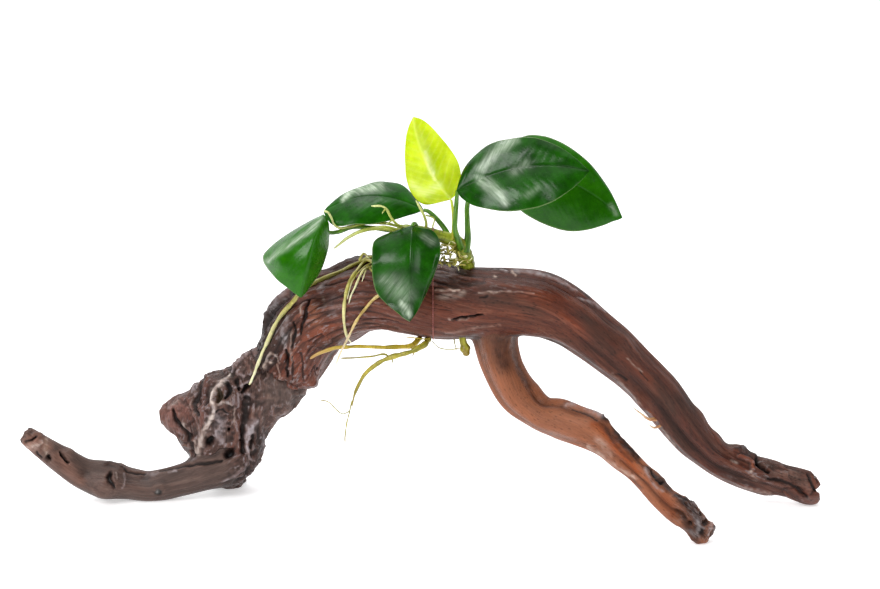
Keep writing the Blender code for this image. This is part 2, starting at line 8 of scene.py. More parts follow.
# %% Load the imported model
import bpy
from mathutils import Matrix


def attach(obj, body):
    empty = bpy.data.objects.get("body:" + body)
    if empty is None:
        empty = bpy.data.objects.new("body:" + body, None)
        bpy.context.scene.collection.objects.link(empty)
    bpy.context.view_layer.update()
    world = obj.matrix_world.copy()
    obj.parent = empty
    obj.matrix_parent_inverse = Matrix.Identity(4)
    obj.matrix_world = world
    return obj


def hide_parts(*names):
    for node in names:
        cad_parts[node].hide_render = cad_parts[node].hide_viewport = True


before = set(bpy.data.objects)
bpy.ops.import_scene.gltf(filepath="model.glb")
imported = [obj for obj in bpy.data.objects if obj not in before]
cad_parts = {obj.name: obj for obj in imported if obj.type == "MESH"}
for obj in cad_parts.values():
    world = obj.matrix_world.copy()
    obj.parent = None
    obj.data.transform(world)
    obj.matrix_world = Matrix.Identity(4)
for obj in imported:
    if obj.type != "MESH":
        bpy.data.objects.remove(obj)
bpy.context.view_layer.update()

# %% [markdown]
# Lengths were read off the photograph in millimetres: x to the right, depth away from the viewer and height
# over the ground. One helper turns such a reading into metres in the model's own frame, where y = 0 lies
# 2 mm nearer than depth 0. Another selects one object alone, as every operator acts on what is selected.

# %% Units, and the two helpers that everything uses
import itertools
import math
import random

import bpy
import numpy as np
import mathutils
from mathutils import Vector
from mathutils.bvhtree import BVHTree

MM = 0.001
MIDDLE_OF_DEPTH = -2.0


def place(x, depth, height):
    return Vector((x * MM, (depth - MIDDLE_OF_DEPTH) * MM, height * MM))


def only(thing):
    bpy.ops.object.select_all(action="DESELECT")
    thing.select_set(True)
    bpy.context.view_layer.objects.active = thing
    return thing


print("the photograph's middle is at", place(7.4, 0, 90.3))

# %% [markdown]
# The camera comes first, so that every later step can be judged in the photograph's own view. A product
# photograph like this is taken with a long lens from a little above. Here that is an 85 mm lens, 14 degrees
# above the level and 831 mm away, which gives the leaves and the feet the same places as in the photograph.

# %% The camera
VIEW_TARGET = place(7.4, 0, 90.3)
VIEW_RISE = math.radians(14)
VIEW_DISTANCE = 831 * MM
LENS, SENSOR_WIDTH = 85, 36
SEES_AS_FAR_AS = 20

towards = Vector((0, math.cos(VIEW_RISE), -math.sin(VIEW_RISE)))
bpy.ops.object.camera_add(location=VIEW_TARGET - towards * VIEW_DISTANCE,
                          rotation=(math.radians(90) - VIEW_RISE, 0, 0))
camera = bpy.context.object
camera.name = "camera"
camera.data.lens = LENS
camera.data.sensor_width = SENSOR_WIDTH
camera.data.clip_end = SEES_AS_FAR_AS
bpy.context.scene.camera = camera
print("camera at", [round(v, 3) for v in camera.location])

# %% [markdown]
# The stage is a white table before a white backdrop. The room behind the camera is dim, as in a real
# studio: that keeps the shaded wood and the leaves deep in colour, because shiny things mirror what is
# before them. Big soft lamps then draw the shine where it is wanted, above all one at the front left for
# the leaves. A wide soft light from the ceiling keeps the whole table white. The view is set to Standard,
# because the usual film-like view greys white down.

# %% Table, room and lamps
def colour(code, alpha=1.0):
    """A colour from its sRGB hex code, as the linear values that Blender works in."""
    channels = [int(code[i:i + 2], 16) / 255 for i in (1, 3, 5)]
    return [c / 12.92 if c <= 0.04045 else ((c + 0.055) / 1.055) ** 2.4 for c in channels] + [alpha]


def add_node(tree, kind, settings=None, values=None, links=None, stops=None):
    """One shader node: its settings, its sockets' values, what feeds its sockets, and a ramp's stops."""
    node = tree.nodes.new(kind)
    for name, value in (settings or {}).items():
        setattr(node, name, value)
    for name, value in (values or {}).items():
        socket = next(s for s in node.inputs if name in (s.identifier, s.name))
        socket.default_value = value
    for name, (source, output) in (links or {}).items():
        socket = next(s for s in node.inputs if name in (s.identifier, s.name))
        feed = next(s for s in source.outputs if output in (s.identifier, s.name))
        tree.links.new(feed, socket)
    for number, (spot, tint) in enumerate(stops or []):
        ramp = node.color_ramp.elements
        stop = ramp[number] if number < len(ramp) else ramp.new(spot)
        stop.position = spot
        stop.color = tint
    return node


def blank_material(name):
    made = bpy.data.materials.new(name)
    made.use_nodes = True
    made.node_tree.nodes.clear()
    return made, made.node_tree


def surface(tree, values, links=None):
    """The shader that ends a material, with its values and what feeds it."""
    shader = add_node(tree, "ShaderNodeBsdfPrincipled", {}, values, links)
    add_node(tree, "ShaderNodeOutputMaterial", links={"Surface": (shader, "BSDF")})


ROOM_WHITE, ROOM_DIM = 1.08, 0.05
DIM_UNTIL, WHITE_FROM = 0.2, 0.6
TABLE_SIZE, TABLE_MIDDLE, TABLE_GLOW = 14, (0, 4, -0.0002), 0.45
LAMPS_AIM = Vector((0, 0.01, 0.09))
CEILING_POWER, CEILING_SPREAD = 1.1, math.radians(70)
CEILING_TURN = (math.radians(-12), math.radians(-8), 0)
LAMPS = {
    "lamp_front_left": dict(spot=(-0.75, -0.9, 0.95), size=0.7, power=17.0),
    "lamp_right": dict(spot=(1.0, -0.6, 0.5), size=0.5, power=3.5),
    "lamp_over": dict(spot=(-0.15, 0.35, 1.1), size=0.36, power=4.2),
}
bpy.ops.mesh.primitive_plane_add(size=TABLE_SIZE, location=TABLE_MIDDLE)
table = bpy.context.object
table.name = "table"
white_table, tree = blank_material("white_table_paint")
surface(tree, {"Base Color": colour("#f3f3f4"), "Roughness": 0.5, "Specular IOR Level": 0.2,
               "Emission Color": colour("#ffffff"), "Emission Strength": TABLE_GLOW})
table.data.materials.append(white_table)

room = bpy.data.worlds.new("white_backdrop_room")
bpy.context.scene.world = room
room.use_nodes = True
backdrop = room.node_tree
outlook = add_node(backdrop, "ShaderNodeTexCoord")
facing = add_node(backdrop, "ShaderNodeSeparateXYZ", links={"Vector": (outlook, "Generated")})
glow = add_node(backdrop, "ShaderNodeMapRange", {}, {
    "From Min": DIM_UNTIL, "From Max": WHITE_FROM, "To Min": ROOM_DIM, "To Max": ROOM_WHITE},
    {"Value": (facing, "Y")})
seen = add_node(backdrop, "ShaderNodeLightPath")
glow = add_node(backdrop, "ShaderNodeMix", {}, {"B_Float": ROOM_WHITE},
                {"Factor_Float": (seen, "Is Camera Ray"), "A_Float": (glow, "Result")})
shade = backdrop.nodes["Background"]
shade.inputs["Color"].default_value = colour("#fcfdff")
backdrop.links.new(glow.outputs["Result"], shade.inputs["Strength"])

for name, lamp in LAMPS.items():
    bpy.ops.object.light_add(type="AREA", location=lamp["spot"])
    light = bpy.context.object
    light.name = name
    light.data.size = lamp["size"]
    light.data.energy = lamp["power"]
    light.rotation_euler = (LAMPS_AIM - light.location).to_track_quat("-Z", "Y").to_euler()
bpy.ops.object.light_add(type="SUN", location=(0, 0, 2), rotation=CEILING_TURN)
ceiling = bpy.context.object
ceiling.name = "lamp_ceiling"
ceiling.data.energy = CEILING_POWER
ceiling.data.angle = CEILING_SPREAD
bpy.context.scene.view_settings.view_transform = "Standard"
print("lamps:", ", ".join(LAMPS))

# %% [markdown]
# Driftwood is a branch that water has stripped and rounded. Its long fibres wind slowly round each limb,
# short grooves and cracks follow them, and knots stand out where twigs once grew. So every limb is first
# written down as stations on its centre line, each with x, depth, height and radius.

# %% The limbs of the driftwood
ARCH = [
    (-56.5, 22.5, 53.5, 14.6), (-53.4, 22, 59, 15.5), (-48.2, 21, 70.8, 17.1), (-41.5, 20, 77.9, 17),
    (-33.5, 18.5, 82.5, 16), (-24.5, 17.5, 86.1, 16.3), (-13, 16.5, 86.8, 15.7), (3.3, 15, 84.9, 15.7),
    (19.6, 14, 83.4, 14.4), (35.5, 13, 83.4, 12.6), (48.5, 12.5, 82, 12.1), (59.5, 12, 77.2, 10.8),
    (68.9, 11.5, 70.6, 9.9), (78.4, 11, 63, 9.3), (87.9, 10.5, 54.8, 8.6), (97.5, 10, 45, 8.5),
    (105.9, 9, 34, 7.8), (113.5, 8, 25.2, 7.3), (121.5, 7.5, 18.6, 6.8), (131.4, 7, 14.5, 6.8),
    (141.4, 6.5, 11, 6.6), (147, 6, 9.3, 5.6), (151, 6, 8.4, 4),
]
UPPER_PRONG = [
    (140, 6.8, 11.6, 4.4), (150, 6.5, 10.9, 4.2), (157.6, 6, 10, 3.8), (161.6, 5.8, 9, 3.2),
    (163.4, 5.5, 7.6, 1.9),
]
LOWER_PRONG = [
    (149.5, 5.6, 9, 3.4), (154, 5, 5.6, 3.6), (158, 4.4, 3.8, 3.6), (161.8, 4, 3.1, 2.9),
    (163.7, 4, 3.2, 1.2),
]
FRONT_LEG = [
    (29, 14.5, 80, 8.4), (29.8, 13.6, 74.5, 8.4), (30.2, 11, 66.7, 8.5), (33, 5.8, 57.7, 7.7),
    (39, 0, 48.4, 7.5), (47.3, -6, 43, 7), (55.9, -11, 41.2, 7.1), (64.7, -17, 39, 6.3), (74, -22, 34, 5.3),
    (82, -27, 28.1, 4.7), (89.2, -31, 22.4, 4.1), (95.4, -34, 16.5, 4.3), (103.8, -37, 11, 5.6),
    (109, -39, 6.3, 5.3), (112, -39.5, 3.2, 4.4),
]
LEFT_ARM = [
    (-163.6, 5.6, 30.4, 3.5), (-160.3, 6, 27.7, 4.1), (-154.6, 7, 22.7, 4.7), (-147.6, 8, 17.1, 5.6),
    (-140.2, 9, 11.6, 6.2), (-131.3, 10, 8.6, 7.2), (-121.1, 10.5, 6.6, 6), (-111.7, 11, 5.4, 5.9),
    (-99.3, 12, 7.9, 6), (-87.7, 13, 11.5, 6.6), (-78.5, 15, 14.8, 7), (-74, 18, 17.5, 5),
]
BURL = {
    "neck": [(-54, 22, 60, 9), (-58.5, 22, 47.5, 10.8), (-67.5, 22, 38, 9.8), (-76.6, 22, 28.7, 10.4)],
    "shoulder": [(-66, 23, 56.5, 6.5), (-79, 23, 44.5, 9), (-88.2, 23.5, 40.4, 8.8), (-91, 22, 29, 8.2)],
    "knob": [(-86, 23, 33, 7), (-97, 23, 34, 7.6), (-104, 23, 32.5, 6.2), (-109, 23, 31.6, 3)],
    "front": [(-98, 22, 30, 6.6), (-92, 20, 21, 7), (-84, 19, 13, 7.2)],
    "foot": [(-80, 22, 30, 9), (-77.5, 21, 17, 8.2), (-80.5, 26, 8, 6.2), (-81.8, 31, -2, 5.4)],
    "ridge": [(-78, 14.5, 43, 3), (-88, 13.5, 37, 3.4), (-90.5, 13.5, 29, 3), (-87, 14.5, 18, 3),
              (-83, 16, 10, 3)],
    "filling": [(-84, 17, 38, 4), (-83.5, 16, 32, 4.5), (-83, 16, 26, 4)],
    "heel": [(-71.4, 20, 27, 4.6), (-73.2, 20, 15, 4.4), (-78.5, 22, 7.5, 4.2), (-81.5, 26, 4, 3.6)],
    "back": [(-70, 28, 43, 6), (-81, 32, 28, 6.4), (-81, 31, 12, 5.4), (-82, 31, -1, 4.4)],
}
print("arch stations:", len(ARCH), "burl limbs:", len(BURL))

# %% [markdown]
# A smooth curve through the stations gives a centre line with a point about every millimetre. At each
# point two more directions are kept: one to the front and one to the outer side of the bend. With them any
# spot on the wood can be told as three lengths, along the limb and away from its heart in those two
# directions. The grain follows these lengths round every bend, which a pattern in plain room coordinates
# can't do.

# %% A limb's centre line, and where a spot lies on it
def smooth(stations, per_span):
    """Points on a Catmull-Rom curve through the stations, per_span to each stretch."""
    rows = np.array(stations, float)
    rows = np.vstack([2 * rows[0] - rows[1], rows, 2 * rows[-1] - rows[-2]])
    points = []
    for i in range(1, len(rows) - 2):
        before, start, end, after = rows[i - 1:i + 3]
        for t in np.arange(per_span) / per_span:
            points.append(0.5 * (2 * start + (end - before) * t
                                 + (2 * before - 5 * start + 4 * end - after) * t ** 2
                                 + (3 * start - before - 3 * end + after) * t ** 3))
    points.append(rows[-2])
    return np.array(points)


def centre_line(centres, radii, flutes=(), knobs=()):
    """A line through points in metres, with its radius, length so far and directions at every point."""
    steps = np.linalg.norm(np.diff(centres, axis=0), axis=1)
    tangents = np.gradient(centres, axis=0)
    tangents /= np.linalg.norm(tangents, axis=1)[:, None]
    fronts = np.array((0, -1, 0)) + tangents[:, 1:2] * tangents
    fronts /= np.linalg.norm(fronts, axis=1)[:, None]
    return dict(centres=centres, radii=radii, along=np.concatenate([[0], np.cumsum(steps)]),
                tangents=tangents, fronts=fronts, outers=np.cross(fronts, tangents),
                flutes=flutes, knobs=knobs)


def limb(stations, flutes=(), knobs=()):
    """A limb's centre line, smoothed through its stations."""
    rows = smooth(stations, 10)
    return centre_line(np.array([place(*row[:3]) for row in rows]), rows[:, 3] * MM, flutes, knobs)


LOOKED_UP_AT_ONCE = 20000


def read_on(a_limb, spots):
    """Where spots lie on a limb: the length along it, two offsets from its heart, and the way out of it."""
    centres = a_limb["centres"]
    nearest = np.empty(len(spots), int)
    for start in range(0, len(spots), LOOKED_UP_AT_ONCE):
        block = slice(start, start + LOOKED_UP_AT_ONCE)
        nearest[block] = ((centres ** 2).sum(1) - 2 * spots[block] @ centres.T).argmin(1)
    tangents = a_limb["tangents"][nearest]
    reach = np.max(np.diff(a_limb["along"]))
    step = ((spots - centres[nearest]) * tangents).sum(1).clip(-reach / 2, reach / 2)
    inside = (nearest > 0) & (nearest < len(centres) - 1)
    step = np.where(inside, step, 0)
    away = spots - centres[nearest] - step[:, None] * tangents
    along = a_limb["along"][nearest] + step
    return along, (away * a_limb["fronts"][nearest]).sum(1), (away * a_limb["outers"][nearest]).sum(1), away


THIN_LIMB = 5 * MM


def limb_height(a_limb, spots):
    """How far spots lie outside a limb's fluted and knobbed skin, and the way that leads off it."""
    along, front, outer, away = read_on(a_limb, spots)
    radius = np.interp(along, a_limb["along"], a_limb["radii"])
    angle = np.arctan2(outer, front)
    relief = np.zeros(len(spots))
    for count, size, twist, phase in a_limb["flutes"]:
        relief += size * MM * np.cos(count * angle + twist * along + phase)
    for share, degrees, width, size in a_limb["knobs"]:
        turn = (angle - math.radians(degrees) + math.pi) % (2 * math.pi) - math.pi
        near = (along - share * a_limb["along"][-1]) ** 2 + (turn * radius) ** 2
        relief += size * MM * np.exp(-near / (width * MM / 2) ** 2)
    relief *= np.minimum(1, radius / THIN_LIMB)
    distance = np.linalg.norm(away, axis=1)
    return distance - radius - relief, away / np.maximum(distance, 1e-9)[:, None]


test = limb(ARCH)
print("the arch is", round(test["along"][-1] * 1000), "mm long, told by", len(test["centres"]), "points")

# %% [markdown]
# The first rough form is made as by hand: each limb is a curve with a round bevel, the curves become meshes
# and are joined, and a voxel remesh melts them into one even skin. That skin still shows a hard crease
# where limbs meet. Real wood flows from limb to limb, so each point is then slid on to a blended skin, in
# which the distances to all limbs are mixed smoothly. Four slides settle it to a hundredth of a millimetre.

# %% From curves to one skin, and the slide on to the blended form
def limb_curve(a_limb, roundness=6, ring=False):
    """A limb as a round curve object, turned into a mesh. The two ends of a ring meet."""
    bpy.ops.object.select_all(action="DESELECT")
    bpy.ops.curve.primitive_nurbs_path_add()
    curve = bpy.context.object
    curve.data.splines.clear()
    spline = curve.data.splines.new("POLY")
    spline.points.add(len(a_limb["centres"]) - 1)
    spline.use_cyclic_u = ring
    for point, centre, radius in zip(spline.points, a_limb["centres"], a_limb["radii"]):
        point.co = (*centre, 1)
        point.radius = radius
    curve.data.bevel_depth = 1.0
    curve.data.bevel_resolution = roundness
    curve.data.use_fill_caps = not ring
    bpy.ops.object.convert(target="MESH")
    return bpy.context.object


def joined(parts):
    """Several meshes joined into the first of them."""
    only(parts[0])
    for part in parts:
        part.select_set(True)
    if len(parts) > 1:
        bpy.ops.object.join()
    return parts[0]


def modify(piece, kind, **settings):
    """Give the selected piece a modifier, set it and apply it."""
    bpy.ops.object.modifier_add(type=kind)
    for name, value in settings.items():
        setattr(piece.modifiers[-1], name, value)
    bpy.ops.object.modifier_apply(modifier=piece.modifiers[-1].name)


def grow_together(name, limbs, voxel):
    """One even skin round several limbs."""
    wood = joined([limb_curve(a_limb) for a_limb in limbs])
    wood.name = wood.data.name = name
    modify(wood, "REMESH", mode="VOXEL", voxel_size=voxel)
    return wood


def blended_height(limbs, spots, blend, ends=()):
    """How far spots lie outside the blended skin of the limbs, the way off it, and the nearest limb. ends
    are planes that cut it off, each told by a corner, where it faces, its reach in mm and its teeth."""
    heights, ways = zip(*(limb_height(a_limb, spots) for a_limb in limbs))
    heights = np.array(heights)
    low = heights.min(0)
    share = np.exp(-(heights - low) / blend)
    height = low - blend * np.log(share.sum(0))
    way = (share[..., None] * np.array(ways)).sum(0)
    way /= np.maximum(np.linalg.norm(way, axis=1), 1e-9)[:, None]
    for corner, facing, reach, torn in ends:
        over = (spots - corner) @ facing - torn(spots)
        cut = (over > height) & (((spots - corner) ** 2).sum(1) < (reach * MM) ** 2)
        height = np.where(cut, over, height)
        way[cut] = facing
    return height, way, heights.argmin(0)


def read_out(points, what):
    """What a mesh keeps for its points, as rows of three numbers."""
    flat = np.empty(len(points) * 3)
    points.foreach_get(what, flat)
    return flat.reshape(-1, 3)


def get_spots(mesh):
    return read_out(mesh.vertices, "co")


def set_spots(mesh, spots):
    mesh.vertices.foreach_set("co", spots.ravel())
    mesh.update()


def settle(wood, limbs, blend, ends=(), slides=4):
    """Slide a skin's points on to the blended form of its limbs. Gives the points, the way off the skin at
    each of them, and the limb that each lies on."""
    spots = get_spots(wood.data)
    for _ in range(slides):
        height, way, _ = blended_height(limbs, spots, blend, ends)
        spots -= way * height[:, None]
    set_spots(wood.data, spots)
    spots = get_spots(wood.data)
    _, way, nearest = blended_height(limbs, spots, blend, ends)
    return spots, way, nearest


def cut_end(corner, facing, reach, teeth):
    """A plane that cuts a limb off, through a corner told in millimetres."""
    return np.array(place(*corner)), np.array(Vector(facing).normalized()), reach, teeth


print("helpers for the wood's form are ready")

# %% [markdown]
# Fibres, cracks and bark are carved next. All come from one kind of noise: a random number at each crossing
# of a lattice, blended smoothly in between. Read along the grain with long steps and across it with short
# ones, the same noise turns from round lumps into fibres. The big odd numbers in it only stir the bits.

# %% Noise, and the carving of the grain
def lattice_value(corner, seed):
    """A fixed random number from -1 to 1 for every crossing of the lattice."""
    x, y, z = (corner[:, i] for i in range(3))
    mixed = (x * 73856093) ^ (y * 19349663) ^ (z * 83492791) ^ (seed * 83492791 + 12345)
    mixed = ((mixed ^ (mixed >> 13)) * 1274126177) & 0x7fffffff
    mixed = ((mixed ^ (mixed >> 15)) * 668265263) & 0x7fffffff
    return ((mixed >> 7) & 0xffff) / 32767.5 - 1


def noise(points, size, seed):
    """Smooth noise over points, with lumps about as wide as size."""
    cells = points / size
    base = np.floor(cells).astype(np.int64)
    part = cells - base
    part = part * part * (3 - 2 * part)
    total = np.zeros(len(points))
    for corner in itertools.product((0, 1), repeat=3):
        weight = np.ones(len(points))
        for axis in range(3):
            weight *= part[:, axis] if corner[axis] else 1 - part[:, axis]
        total += weight * lattice_value(base + np.array(corner), seed)
    return total


def noises(points, size, *seeds):
    """Several noises side by side, to push points about."""
    return np.stack([noise(points, size, seed) for seed in seeds], 1)


def teeth(*layers):
    """How far a torn end stands out at its points. A layer is a height and a width in mm, and a seed."""
    def height(spots):
        return sum(size * MM * noise(spots, width * MM, seed) for size, width, seed in layers)
    return height


def grain_coordinates(limbs, nearest, spots, wind):
    """Each spot along and across the grain of its own limb. wind turns the fibres round it, per metre."""
    grain = np.empty((len(spots), 3))
    for number, a_limb in enumerate(limbs):
        mine = nearest == number
        along, front, outer, _ = read_on(a_limb, spots[mine])
        turn = wind * along
        grain[mine, 0] = along + 0.5 * number
        grain[mine, 1] = front * np.cos(turn) - outer * np.sin(turn)
        grain[mine, 2] = front * np.sin(turn) + outer * np.cos(turn)
    return grain


def stretched(grain, stretch):
    return grain / np.array((stretch, 1, 1))


def store(wood, name, values):
    """Keep a value or a vector for every point, for the material to read."""
    kind = "FLOAT_VECTOR" if values.ndim == 2 else "FLOAT"
    layer = wood.data.attributes.new(name, kind, "POINT")
    layer.data.foreach_set("vector" if values.ndim == 2 else "value", values.ravel())


def step_up(values, low, high):
    """0 below low, 1 above high and a smooth rise in between."""
    t = ((values - low) / (high - low)).clip(0, 1)
    return t * t * (3 - 2 * t)


def patches(spots, marks):
    """How strongly each spot lies in marked patches, told by x, height, their half widths and strength."""
    total = np.zeros(len(spots))
    for x, height, wide, tall, strength in marks:
        near = ((spots[:, 0] / MM - x) / wide) ** 2 + ((spots[:, 2] / MM - height) / tall) ** 2
        total += strength * np.exp(-near)
    return total.clip(-1, 1)


trial = noise(np.random.default_rng(1).uniform(-0.1, 0.1, (1000, 3)), 5 * MM, 1)
print("noise runs from", round(trial.min(), 2), "to", round(trial.max(), 2))

# %% [markdown]
# Two helpers shape the surface: one cuts the fibres, in layers from coarse to fine, and the other splits
# them with thin cracks. The others finish a new piece. They measure how far each of its points stands over
# its surroundings, cut the feet flat on the ground, and give it its place in the model.

# %% Cutting fibres and cracks, and giving a piece its place
def fibres(grain, layers, seed):
    """The height of the fibres, in metres. A layer is its width, stretch and depth, and how sharp it is."""
    height = np.zeros(len(grain))
    for number, (width, stretch, depth, sharp) in enumerate(layers):
        wave = noise(stretched(grain, stretch), width * MM, seed + number)
        if sharp:
            wave = 1 - 2 * np.abs(wave) ** sharp
        height += depth * MM * wave
    return height


def cracks(grain, width, stretch, share, seed):
    """Thin lines along the grain, 1 in the middle of a crack and 0 away from it."""
    wave = np.abs(noise(stretched(grain, stretch), width * MM, seed))
    where = step_up(noise(grain, 3 * width * MM, seed + 50), 0.2, 0.5)
    return (1 - step_up(wave, 0, share)) * where


def triangles(piece):
    return sum(len(face.vertices) - 2 for face in piece.data.polygons)


def hand_in(piece, slot, *nodes):
    """A finished piece takes its nodes' place in the model and rides with it."""
    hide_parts(*nodes)
    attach(piece, "root")
    low, high = np.array(piece.bound_box).min(0) / MM, np.array(piece.bound_box).max(0) / MM
    print(piece.name, "-", triangles(piece), "triangles, from", low.round(1), "to", high.round(1))


NARROW_ROUNDS, WIDE_ROUNDS = 6, 40
NARROW_CONTRAST, WIDE_CONTRAST = 9, 3
FLAT_FOOT = 0.05 * MM


def hollows(wood, rounds):
    """How far each point stands over its smoothed surroundings, in millimetres. Less than 0 is a hollow."""
    ends = np.empty(len(wood.data.edges) * 2, np.int32)
    wood.data.edges.foreach_get("vertices", ends)
    ends = ends.reshape(-1, 2)
    count = np.bincount(ends.ravel(), minlength=len(wood.data.vertices))
    smoothed = get_spots(wood.data)
    spots = smoothed.copy()
    for _ in range(rounds):
        for axis in range(3):
            near = np.bincount(ends[:, 0], smoothed[ends[:, 1], axis], len(spots))
            near += np.bincount(ends[:, 1], smoothed[ends[:, 0], axis], len(spots))
            smoothed[:, axis] = 0.4 * smoothed[:, axis] + 0.6 * near / count
    return ((spots - smoothed) * read_out(wood.data.vertex_normals, "vector")).sum(1) / MM


def finish_wood(wood, spots, masks):
    """Set the carved points, cut the feet flat, and keep the masks for the material, with the hollows that
    it paints shade into.
    """
    spots[:, 2] = np.maximum(spots[:, 2], FLAT_FOOT)
    set_spots(wood.data, spots)
    narrow, wide = hollows(wood, NARROW_ROUNDS), hollows(wood, WIDE_ROUNDS)
    narrow, wide = np.tanh(NARROW_CONTRAST * narrow), np.tanh(WIDE_CONTRAST * wide)
    # the ridge mask: low in hollows and high on crests; the material paints shade into the hollows with it
    masks["ridge"] = (0.5 + 0.25 * narrow + 0.25 * wide).clip(0, 1)
    for name, values in masks.items():
        store(wood, name, values)
    only(wood)
    bpy.ops.object.shade_smooth()


print("helpers for the wood's skin are ready")

# %% [markdown]
# Many marks on this wood happened only once: a knot hole, a torn flap, a worn pale ridge. They were read
# off the photograph as lines of places and half widths, in its pixels, each of which is 0.4 mm on the wood.
# The camera's own perspective tells where a point of the wood shows in the picture, so every mark lands
# just where it was seen. A mark lifts or sinks the wood, and adds to the masks that colour it. Some marks
# paint light and shade: highlights and reflections in the pale and frost masks, shade in the pit masks and
# in some of the bark. A mark's edge is ragged, and pale and frost marks are broken up, as worn places and
# broken highlights are.

# %% Marks read off the photograph
PICTURE_WIDTH = 880
PICTURE_MIDDLE = (440, 294.5)
PICTURE_REACH = LENS / SENSOR_WIDTH * PICTURE_WIDTH
LOOK = np.array(towards)
# both are told in a mark's half widths
MARK_REACH, FAR_OFF = 2.2, 9.0
RAGGED_BY = 0.9
RAGGED_SIZE, BROKEN_SIZE, CRUMB_SIZE = 1.6 * MM, 1.3 * MM, 0.7 * MM


def seen_at(spots):
    """Where points show in the photograph, in its pixels."""
    off = spots - np.array(camera.location)
    deep = off @ LOOK
    up = off @ np.array((0, -towards.z, towards.y))
    return np.stack([PICTURE_MIDDLE[0] + off[:, 0] / deep * PICTURE_REACH,
                     PICTURE_MIDDLE[1] - up / deep * PICTURE_REACH], 1)


def draw_marks(spots, way, marks, only_where):
    """Marks on the side that the photograph shows. A mark is its height in mm, the masks it adds to, and
    its line. Gives the relief in metres and the masks."""
    seen = seen_at(spots) + RAGGED_BY * noises(spots, RAGGED_SIZE, 400, 401)
    shown = step_up(-(way @ LOOK), -0.15, 0.1) * only_where
    relief, masks = np.zeros(len(spots)), {}
    crumbs = noise(spots, BROKEN_SIZE, 403) + 0.5 * noise(spots, CRUMB_SIZE, 404)
    broken = 0.35 + 0.65 * step_up(crumbs, -0.45, 0.35)
    for height, tints, line in marks:
        rows = smooth(line, 4) if len(line) > 1 else np.array([line[0], line[0]], float)
        reach = MARK_REACH * rows[:, 2].max()
        inside = (seen > rows[:, :2].min(0) - reach) & (seen < rows[:, :2].max(0) + reach)
        near = np.flatnonzero(inside.all(1))
        apart = np.full(len(near), FAR_OFF)
        for start, end in zip(rows[:-1], rows[1:]):
            step = end[:2] - start[:2]
            part = ((seen[near] - start[:2]) @ step / max(step @ step, 1e-9)).clip(0, 1)
            off = ((seen[near] - start[:2] - part[:, None] * step) ** 2).sum(1)
            apart = np.minimum(apart, np.sqrt(off) / (start[2] + part * (end[2] - start[2])))
        relief[near] += height * MM * np.exp(-apart ** 3) * shown[near]
        for name, strength in tints.items():
            mask = masks.setdefault(name, np.zeros(len(spots)))
            patchy = broken[near] if name in ("pale_wear_and_glint", "highlight_and_bleach") else 1
            mask[near] = np.maximum(mask[near], strength * np.exp(-apart ** 2) * shown[near] * patchy)
    return relief, masks


def thin_out(wood, most):
    """Take faces away where the surface is plain, until no more than most triangles are left."""
    only(wood)
    faces = triangles(wood)
    if faces > most:
        modify(wood, "DECIMATE", ratio=most / faces)
    bpy.ops.object.shade_smooth()
    print(wood.name, "thinned from", faces, "triangles")


print("a spot 100 mm right of the middle shows at", seen_at(np.array([place(107.4, 0, 90.3)])).round(0))

# %% [markdown]
# The arch and its front leg are one flowing form, so they are grown together, with the two prongs of the
# right tip. The arch ends on the left in a torn sleeve that hangs over the stump: there the skin is cut by
# a plane with teeth. The broken ends of the leg and of the right tip are cut in the same way. The left part
# is rough and still has plates of dark bark, the middle is smooth and wet.

# %% The arch and the front leg
# a knob or hollow: its share of the limb's length, degrees round it, width and height in mm
ARCH_KNOBS = [
    (0.02, -35, 11, 3.2), (0.05, 150, 16, 1), (0.05, 92, 24, -1.9), (0.11, 92, 24, -1.2),
    (0.15, -90, 14, 1.8), (0.17, 92, 26, -2.4), (0.24, 92, 28, -2.7), (0.31, 92, 28, -1.8),
    (0.33, -90, 22, 1.2), (0.26, -90, 12, 0.8), (0.38, 95, 24, -0.6), (0.47, 92, 30, 0.6),
    (0.47, -60, 18, 0.8), (0.53, 90, 16, 0.3), (0.62, 60, 12, 1.4), (0.72, -50, 9, 1.5),
    (0.8, 110, 10, 1.2), (0.9, 80, 8, 2.0), (0.95, 60, 6, 1.6), (0.97, 90, 8, 0.5), (0.85, 90, 8, 0.9),
    (0.86, -90, 16, -0.9), (0.985, -90, 5, -1.0),
]
LEG_KNOBS = [
    (0.3, 150, 10, 0.6), (0.36, 80, 13, -2.3), (0.545, 90, 11, 2.0), (0.7, 20, 10, -1.2),
    (0.78, 100, 8, 1.0), (0.9, 0, 7, -2.0), (0.93, 95, 7, 1.8), (0.6, -90, 18, -1.2), (0.71, -90, 13, -1.2),
    (0.94, -90, 8, -1.3), (0.35, -90, 16, -0.8),
]
ARCH_VOXEL = 0.47 * MM
ARCH_BLEND = 1.6 * MM
ARCH_WIND = 9
MOST_TRIANGLES = 190000

# flutes: how many run round the limb, their height in mm, their twist per metre and where they start
arch = limb(ARCH, [(2, 0.6, 14, 0.4), (3, 0.5, -9, 1.1), (5, 0.45, 12, 2.0), (7, 0.35, -7, 0.3)],
            ARCH_KNOBS)
upper_prong = limb(UPPER_PRONG, [(3, 0.5, 20, 0.6)])
lower_prong = limb(LOWER_PRONG, [(3, 0.5, 20, 0.6)])
leg = limb(FRONT_LEG, [(2, 0.6, 20, 0.9), (3, 0.9, -16, 0.2), (5, 0.4, 25, 1.0)], LEG_KNOBS)
arch_limbs = [arch, upper_prong, lower_prong, leg]
torn_sleeve = teeth((1.6, 3.5, 11), (0.8, 1.5, 12))
broken_face = teeth((0.5, 2.2, 13))
arch_ends = [
    (arch["centres"][0] - 1.0 * MM * arch["tangents"][0], -arch["tangents"][0], 32, torn_sleeve),
    cut_end((111.5, -43, 5), (0.66, -0.66, -0.36), 15, broken_face),
    cut_end((109.5, -40, 11), (0.62, -0.1, 0.78), 15, broken_face),
    cut_end((162.5, 6, 10.8), (0.82, 0, 0.57), 9, broken_face),
]

